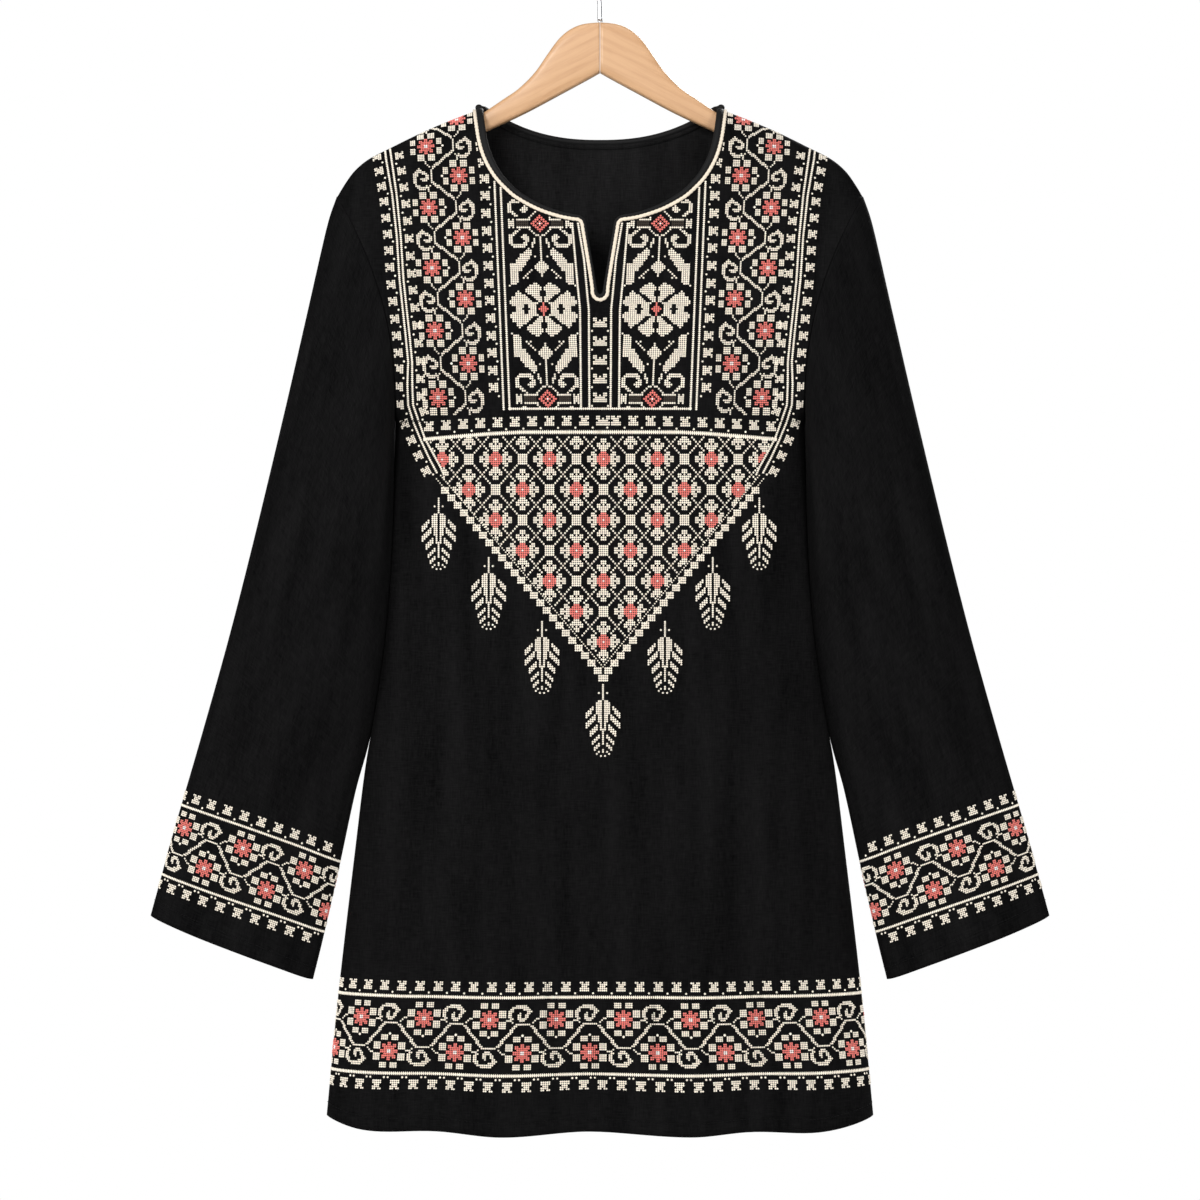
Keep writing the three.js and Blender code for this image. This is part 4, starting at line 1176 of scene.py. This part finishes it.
cuffLeft, cuffSurfaceLeft, cuffRunLeft = cuffPiece("cuff_band_left", 1)
cuffRight, cuffSurfaceRight, cuffRunRight = cuffPiece("cuff_band_right", -1)
cuffStitchLeft = cuffTopstitch("cuff_topstitch_left", 1, cuffSurfaceLeft, cuffRunLeft)
cuffStitchRight = cuffTopstitch("cuff_topstitch_right", -1, cuffSurfaceRight, cuffRunRight)

topClear = hemBand["topstitchClear"]
hemRun = np.arange(-frontRun[-1] + topClear, ringLength - frontRun[-1] - topClear, topstitch["pitch"])
hemTurn = np.where(hemRun <= frontRun[-1], np.interp(hemRun, frontRun, frontShare),
                   np.interp(backRun[-1] - (hemRun - frontRun[-1]), backRun, backShare))
hemHeight = garment["hem"] + garment["hemSideRise"] * np.abs(hemTurn) ** garment["hemCorner"]
hemStitch = makeStitches("hem_topstitch", hemSurface, topstitchRows(hemRun, hemHeight + topstitch["hemRise"]),
                         clearOfSides, runningStitch, threadSewing)

# the narrow band that faces the back's neck inside
neckBand = {"from": 1.2, "to": 7.8, "under": 0.25, "thickness": 0.6, "step": 3.0, "rows": 7, "share": 0.9}


def insideBack(x, z, under):
    # a place under the back's inner face
    return panelPoint(x, z, back) - (garment["cloth"] + under) * panelOutward(x, z, back)


def neckBandRow(distance, step):
    # the back neck's line moved into the cloth, both halves, up to a share of its length
    flat, _ = offsetInto(backNeckEdge(step), distance)
    flat = flat[:int(len(flat) * neckBand["share"])]
    return np.concatenate([flat[:0:-1] * (-1, 1), flat])


def makeNeckBand():
    # rows of the neck's line, each further into the cloth
    rows = np.stack([neckBandRow(distance, neckBand["step"])
                     for distance in np.linspace(neckBand["to"], neckBand["from"], neckBand["rows"])])
    points = insideBack(rows[..., 0], rows[..., 1], neckBand["under"])
    quads = gridQuads(*rows.shape[:2])
    # the band takes the paler inner cloth: painted light inside the back's neck
    piece = makePiece("neck_band_back", points.reshape(-1, 3), quads, clothInsidePaintedLight, uv=rows.reshape(-1, 2) * 0.001)
    wall = piece.modifiers.new("wall", "SOLIDIFY")
    wall.thickness, wall.offset = neckBand["thickness"] * 0.001, 1
    return piece


neckBandPiece = makeNeckBand()
neckStitchLine = neckBandRow(topstitch["neckBelow"], topstitch["pitch"])
neckStitch = makeStitches(
    "neck_topstitch_back", lambda u, v: insideBack(u, v, neckBand["under"] + neckBand["thickness"]),
    topstitchRows(*neckStitchLine.T), None, runningStitch, threadSewing)
print("embroidery and sewing done")


hanger = {
    "thickness": 12, "endThickness": 7, "taperFrom": 160, "reach": 187, "mitreGap": 0.3, "round": 4,
    "stations": 90, "around": 40, "flat": 2.2, "slope": 0.46,
    "upper": [(0, 0), (14, -1.6), (24, -5.8), (33, -13.4), (42, -25.6), (52, -40), (65, -53), (78, -62),
              (88, -68.8), (97, -74.4), (137, -91), (165, -103.4), (180, -112.5), (187, -119)],
    "lower": [(0, -40.5), (9, -45.6), (30, -57), (60, -73), (90, -87), (140, -110), (170, -124.5),
              (181, -128.6), (187, -128)],
    "wire": 2, "wireSides": 20, "wireStep": 1.2,
    "bow": 22, "drop": 72, "stem": 14, "bendFrom": 24, "firstTurn": -48, "lastTurn": 204,
}


def makeArm(name, side, material):
    # upright sections from the mitre to the end, each a rectangle with rounded corners: the flat's half
    # width times the sign of the cosine, plus the corner's radius times the cosine, and so with the sine
    h = hanger
    x = h["mitreGap"] / 2 + (h["reach"] - h["mitreGap"] / 2) * np.linspace(0, 1, h["stations"])
    top, foot = alongTable(h["upper"], x), alongTable(h["lower"], x)
    taper = smoothStep((x - h["taperFrom"]) / (h["reach"] - h["taperFrom"]))
    half = (h["thickness"] + (h["endThickness"] - h["thickness"]) * taper) / 2
    tall = (top - foot) / 2
    turn = 2 * np.pi * np.arange(h["around"]) / h["around"]
    corner = np.minimum(h["round"], np.minimum(0.8 * half, 0.6 * tall))
    cos, sin = np.cos(turn), np.sin(turn)
    y = np.sign(cos) * (half - corner)[:, None] * np.minimum(np.abs(cos) * h["flat"], 1) + corner[:, None] * cos
    z = np.sign(sin) * (tall - corner)[:, None] * np.minimum(np.abs(sin) * h["flat"], 1) + corner[:, None] * sin
    z = z + ((top + foot) / 2)[:, None]
    rings = np.stack([np.broadcast_to(side * x[:, None], y.shape), y, z], -1)
    middle = rings.mean(1, keepdims=True)
    closed = [middle[:1].repeat(h["around"], 1), rings, middle[-1:].repeat(h["around"], 1)]
    rings = np.concatenate(closed)
    quads = gridQuads(len(rings), h["around"], closed=True, flip=side < 0)
    return makePiece(name, rings.reshape(-1, 3), quads, material)


armLeft = makeArm("arm_wood_left", 1, woodMaterial("beech_left", woodLook, -hanger["slope"]))
armRight = makeArm("arm_wood_right", -1, woodMaterial("beech_right", woodLook, hanger["slope"]))


def makeHook():
    # a round wire carried along a straight stem and then round the bow
    h = hanger
    bowHeight = h["drop"] - h["bow"] + h["wire"]
    turns = np.radians(np.linspace(h["firstTurn"], h["lastTurn"], 60))
    bowLine = np.stack([h["bow"] * np.cos(turns), bowHeight + h["bow"] * np.sin(turns)], 1)
    stem = np.array([[0, h["mitreGap"]], [0, h["stem"]], [0, h["bendFrom"]]])
    at = np.array([0, 0.6, 1.0, *np.linspace(2, 12, len(turns))])
    route = np.concatenate([stem, bowLine])
    line = np.stack([alongTable(list(zip(at, route[:, k])), np.linspace(0, at[-1], 260)) for k in range(2)], 1)
    points = resample(np.stack([line[:, 0], 0 * line[:, 0], line[:, 1]], 1), h["wireStep"])
    across = np.tile([0.0, 1.0, 0.0], (len(points), 1))
    rings, quads, _ = sweep(points, across, h["wire"], h["wire"], h["wireSides"])
    return makePiece("hook_wire", rings, quads, steelMaterial("steel_wire", steelLook))


hook = makeHook()
print("hanger done")

# each panel's cut, as far as it shows: width and length of the flat cloth, its area, what it hangs on and
# what is sewn to it
cuts = [(panelFront, (0.476, 0.830), 0.302, ["hanger_arm_left", "hanger_arm_right"],
         [yokeUpper, yokeLower, bindingFront, braid]),
        (panelBack, (0.470, 0.829), 0.312, ["hanger_arm_left", "hanger_arm_right"],
         [bindingBack, neckBandPiece, neckStitch]),
        (sleeveLeft, (0.425, 0.594), 0.148, ["tunic_front", "tunic_back"], [cuffLeft, cuffStitchLeft]),
        (sleeveRight, (0.425, 0.594), 0.148, ["tunic_front", "tunic_back"], [cuffRight, cuffStitchRight])]
for piece, flat, area, restsOn, sewnOn in cuts:
    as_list(restsOn)
    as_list(sewnOn)

stands = [(panelFront, "tunic_front", "cloth"), (panelBack, "tunic_back", "cloth"),
          (sleeveLeft, "sleeve_left", "cloth"), (sleeveRight, "sleeve_right", "cloth"),
          (bindingFront, "neck_binding_front", "binding"), (bindingBack, "neck_binding_back", "binding"),
          (braid, "neck_braid", "braid"), (armLeft, "hanger_arm_left", "wood"),
          (armRight, "hanger_arm_right", "wood"), (hook, "hanger_hook", "steel")]
for piece, node, slot in stands:
    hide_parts(node)


studio = {
    "floorHeight": -1.42, "floorRadius": 2.0, "floorColour": (0.86, 0.86, 0.85),
    "camera": (0, -3.2, -0.534), "frameWidth": 0.96, "sensor": 36, "world": 0.2,
    "aim": (0, 0, -0.5),
    # each light: place, watts, size
    "lights": [((-1.1, -2.9, 0.5), 62, 0.9), ((1.7, -2.6, -0.1), 30, 1.0), ((-2.4, -0.9, 0.3), 20, 0.9),
               ((0.2, -1.4, 1.9), 24, 1.2), ((0.9, 2.3, 0.9), 70, 1.4)],
}


def makeFloor():
    # a flat disc: rings of points at growing distance from the middle
    rings, sides = 12, 64
    radius = np.linspace(0.001, studio["floorRadius"], rings)[:, None]
    turn = np.linspace(0, 2 * np.pi, sides, endpoint=False)[None, :]
    points = np.stack([radius * np.cos(turn), radius * np.sin(turn), 0 * radius * turn], -1).reshape(-1, 3)
    quads = gridQuads(rings, sides, closed=True, flip=True)
    mesh = bpy.data.meshes.new("floor")
    mesh.from_pydata((points + [0, 0, studio["floorHeight"]]).tolist(), [], quads.tolist())
    floor = bpy.data.objects.new("floor", mesh)
    bpy.context.scene.collection.objects.link(floor)
    node, finish = newMaterial("floor_pale", {"Roughness": 0.9})
    pale = studio["floorColour"]
    stops = [(0.3, tuple(c * 0.98 for c in pale)), (0.7, pale)]
    mesh.materials.append(finish(Base_Color=rampNode(node, node("TexNoise", "Fac", in_Scale=60.0), stops)))


def aimAt(thing, target):
    # turns the thing's own down axis towards the target
    direction = np.array(target) - np.array(thing.location)
    thing.rotation_euler = (math.atan2(math.hypot(direction[0], direction[1]), -direction[2]), 0,
                            math.atan2(direction[1], direction[0]) - math.pi / 2)


makeFloor()
for index, (place, watts, size) in enumerate(studio["lights"]):
    data = bpy.data.lights.new(f"soft_{index}", "AREA")
    data.energy, data.size = watts, size
    light = bpy.data.objects.new(data.name, data)
    light.location = place
    aimAt(light, studio["aim"])
    bpy.context.scene.collection.objects.link(light)

world = bpy.data.worlds.new("studio")
world.use_nodes = True
worldNodes, worldLinks = world.node_tree.nodes, world.node_tree.links
sky = worldNodes["Background"]
sky.inputs["Color"].default_value = (1, 1, 1, 1)
seen = worldNodes.new("ShaderNodeLightPath").outputs["Is Camera Ray"]
strength = worldNodes.new("ShaderNodeMapRange")             # plain white backdrop, softer as light
strength.inputs["To Min"].default_value = studio["world"]
strength.inputs["To Max"].default_value = 1.0
worldLinks.new(seen, strength.inputs["Value"])
worldLinks.new(strength.outputs["Result"], sky.inputs["Strength"])
bpy.context.scene.world = world
bpy.context.scene.view_settings.view_transform = "Standard"

cameraData = bpy.data.cameras.new("camera")
cameraData.sensor_width = studio["sensor"]
cameraData.lens = studio["sensor"] * -studio["camera"][1] / studio["frameWidth"]
camera = bpy.data.objects.new("camera", cameraData)
camera.location = studio["camera"]
camera.rotation_euler = (math.pi / 2, 0, 0)
bpy.context.scene.collection.objects.link(camera)
bpy.context.scene.camera = camera
print("studio done")
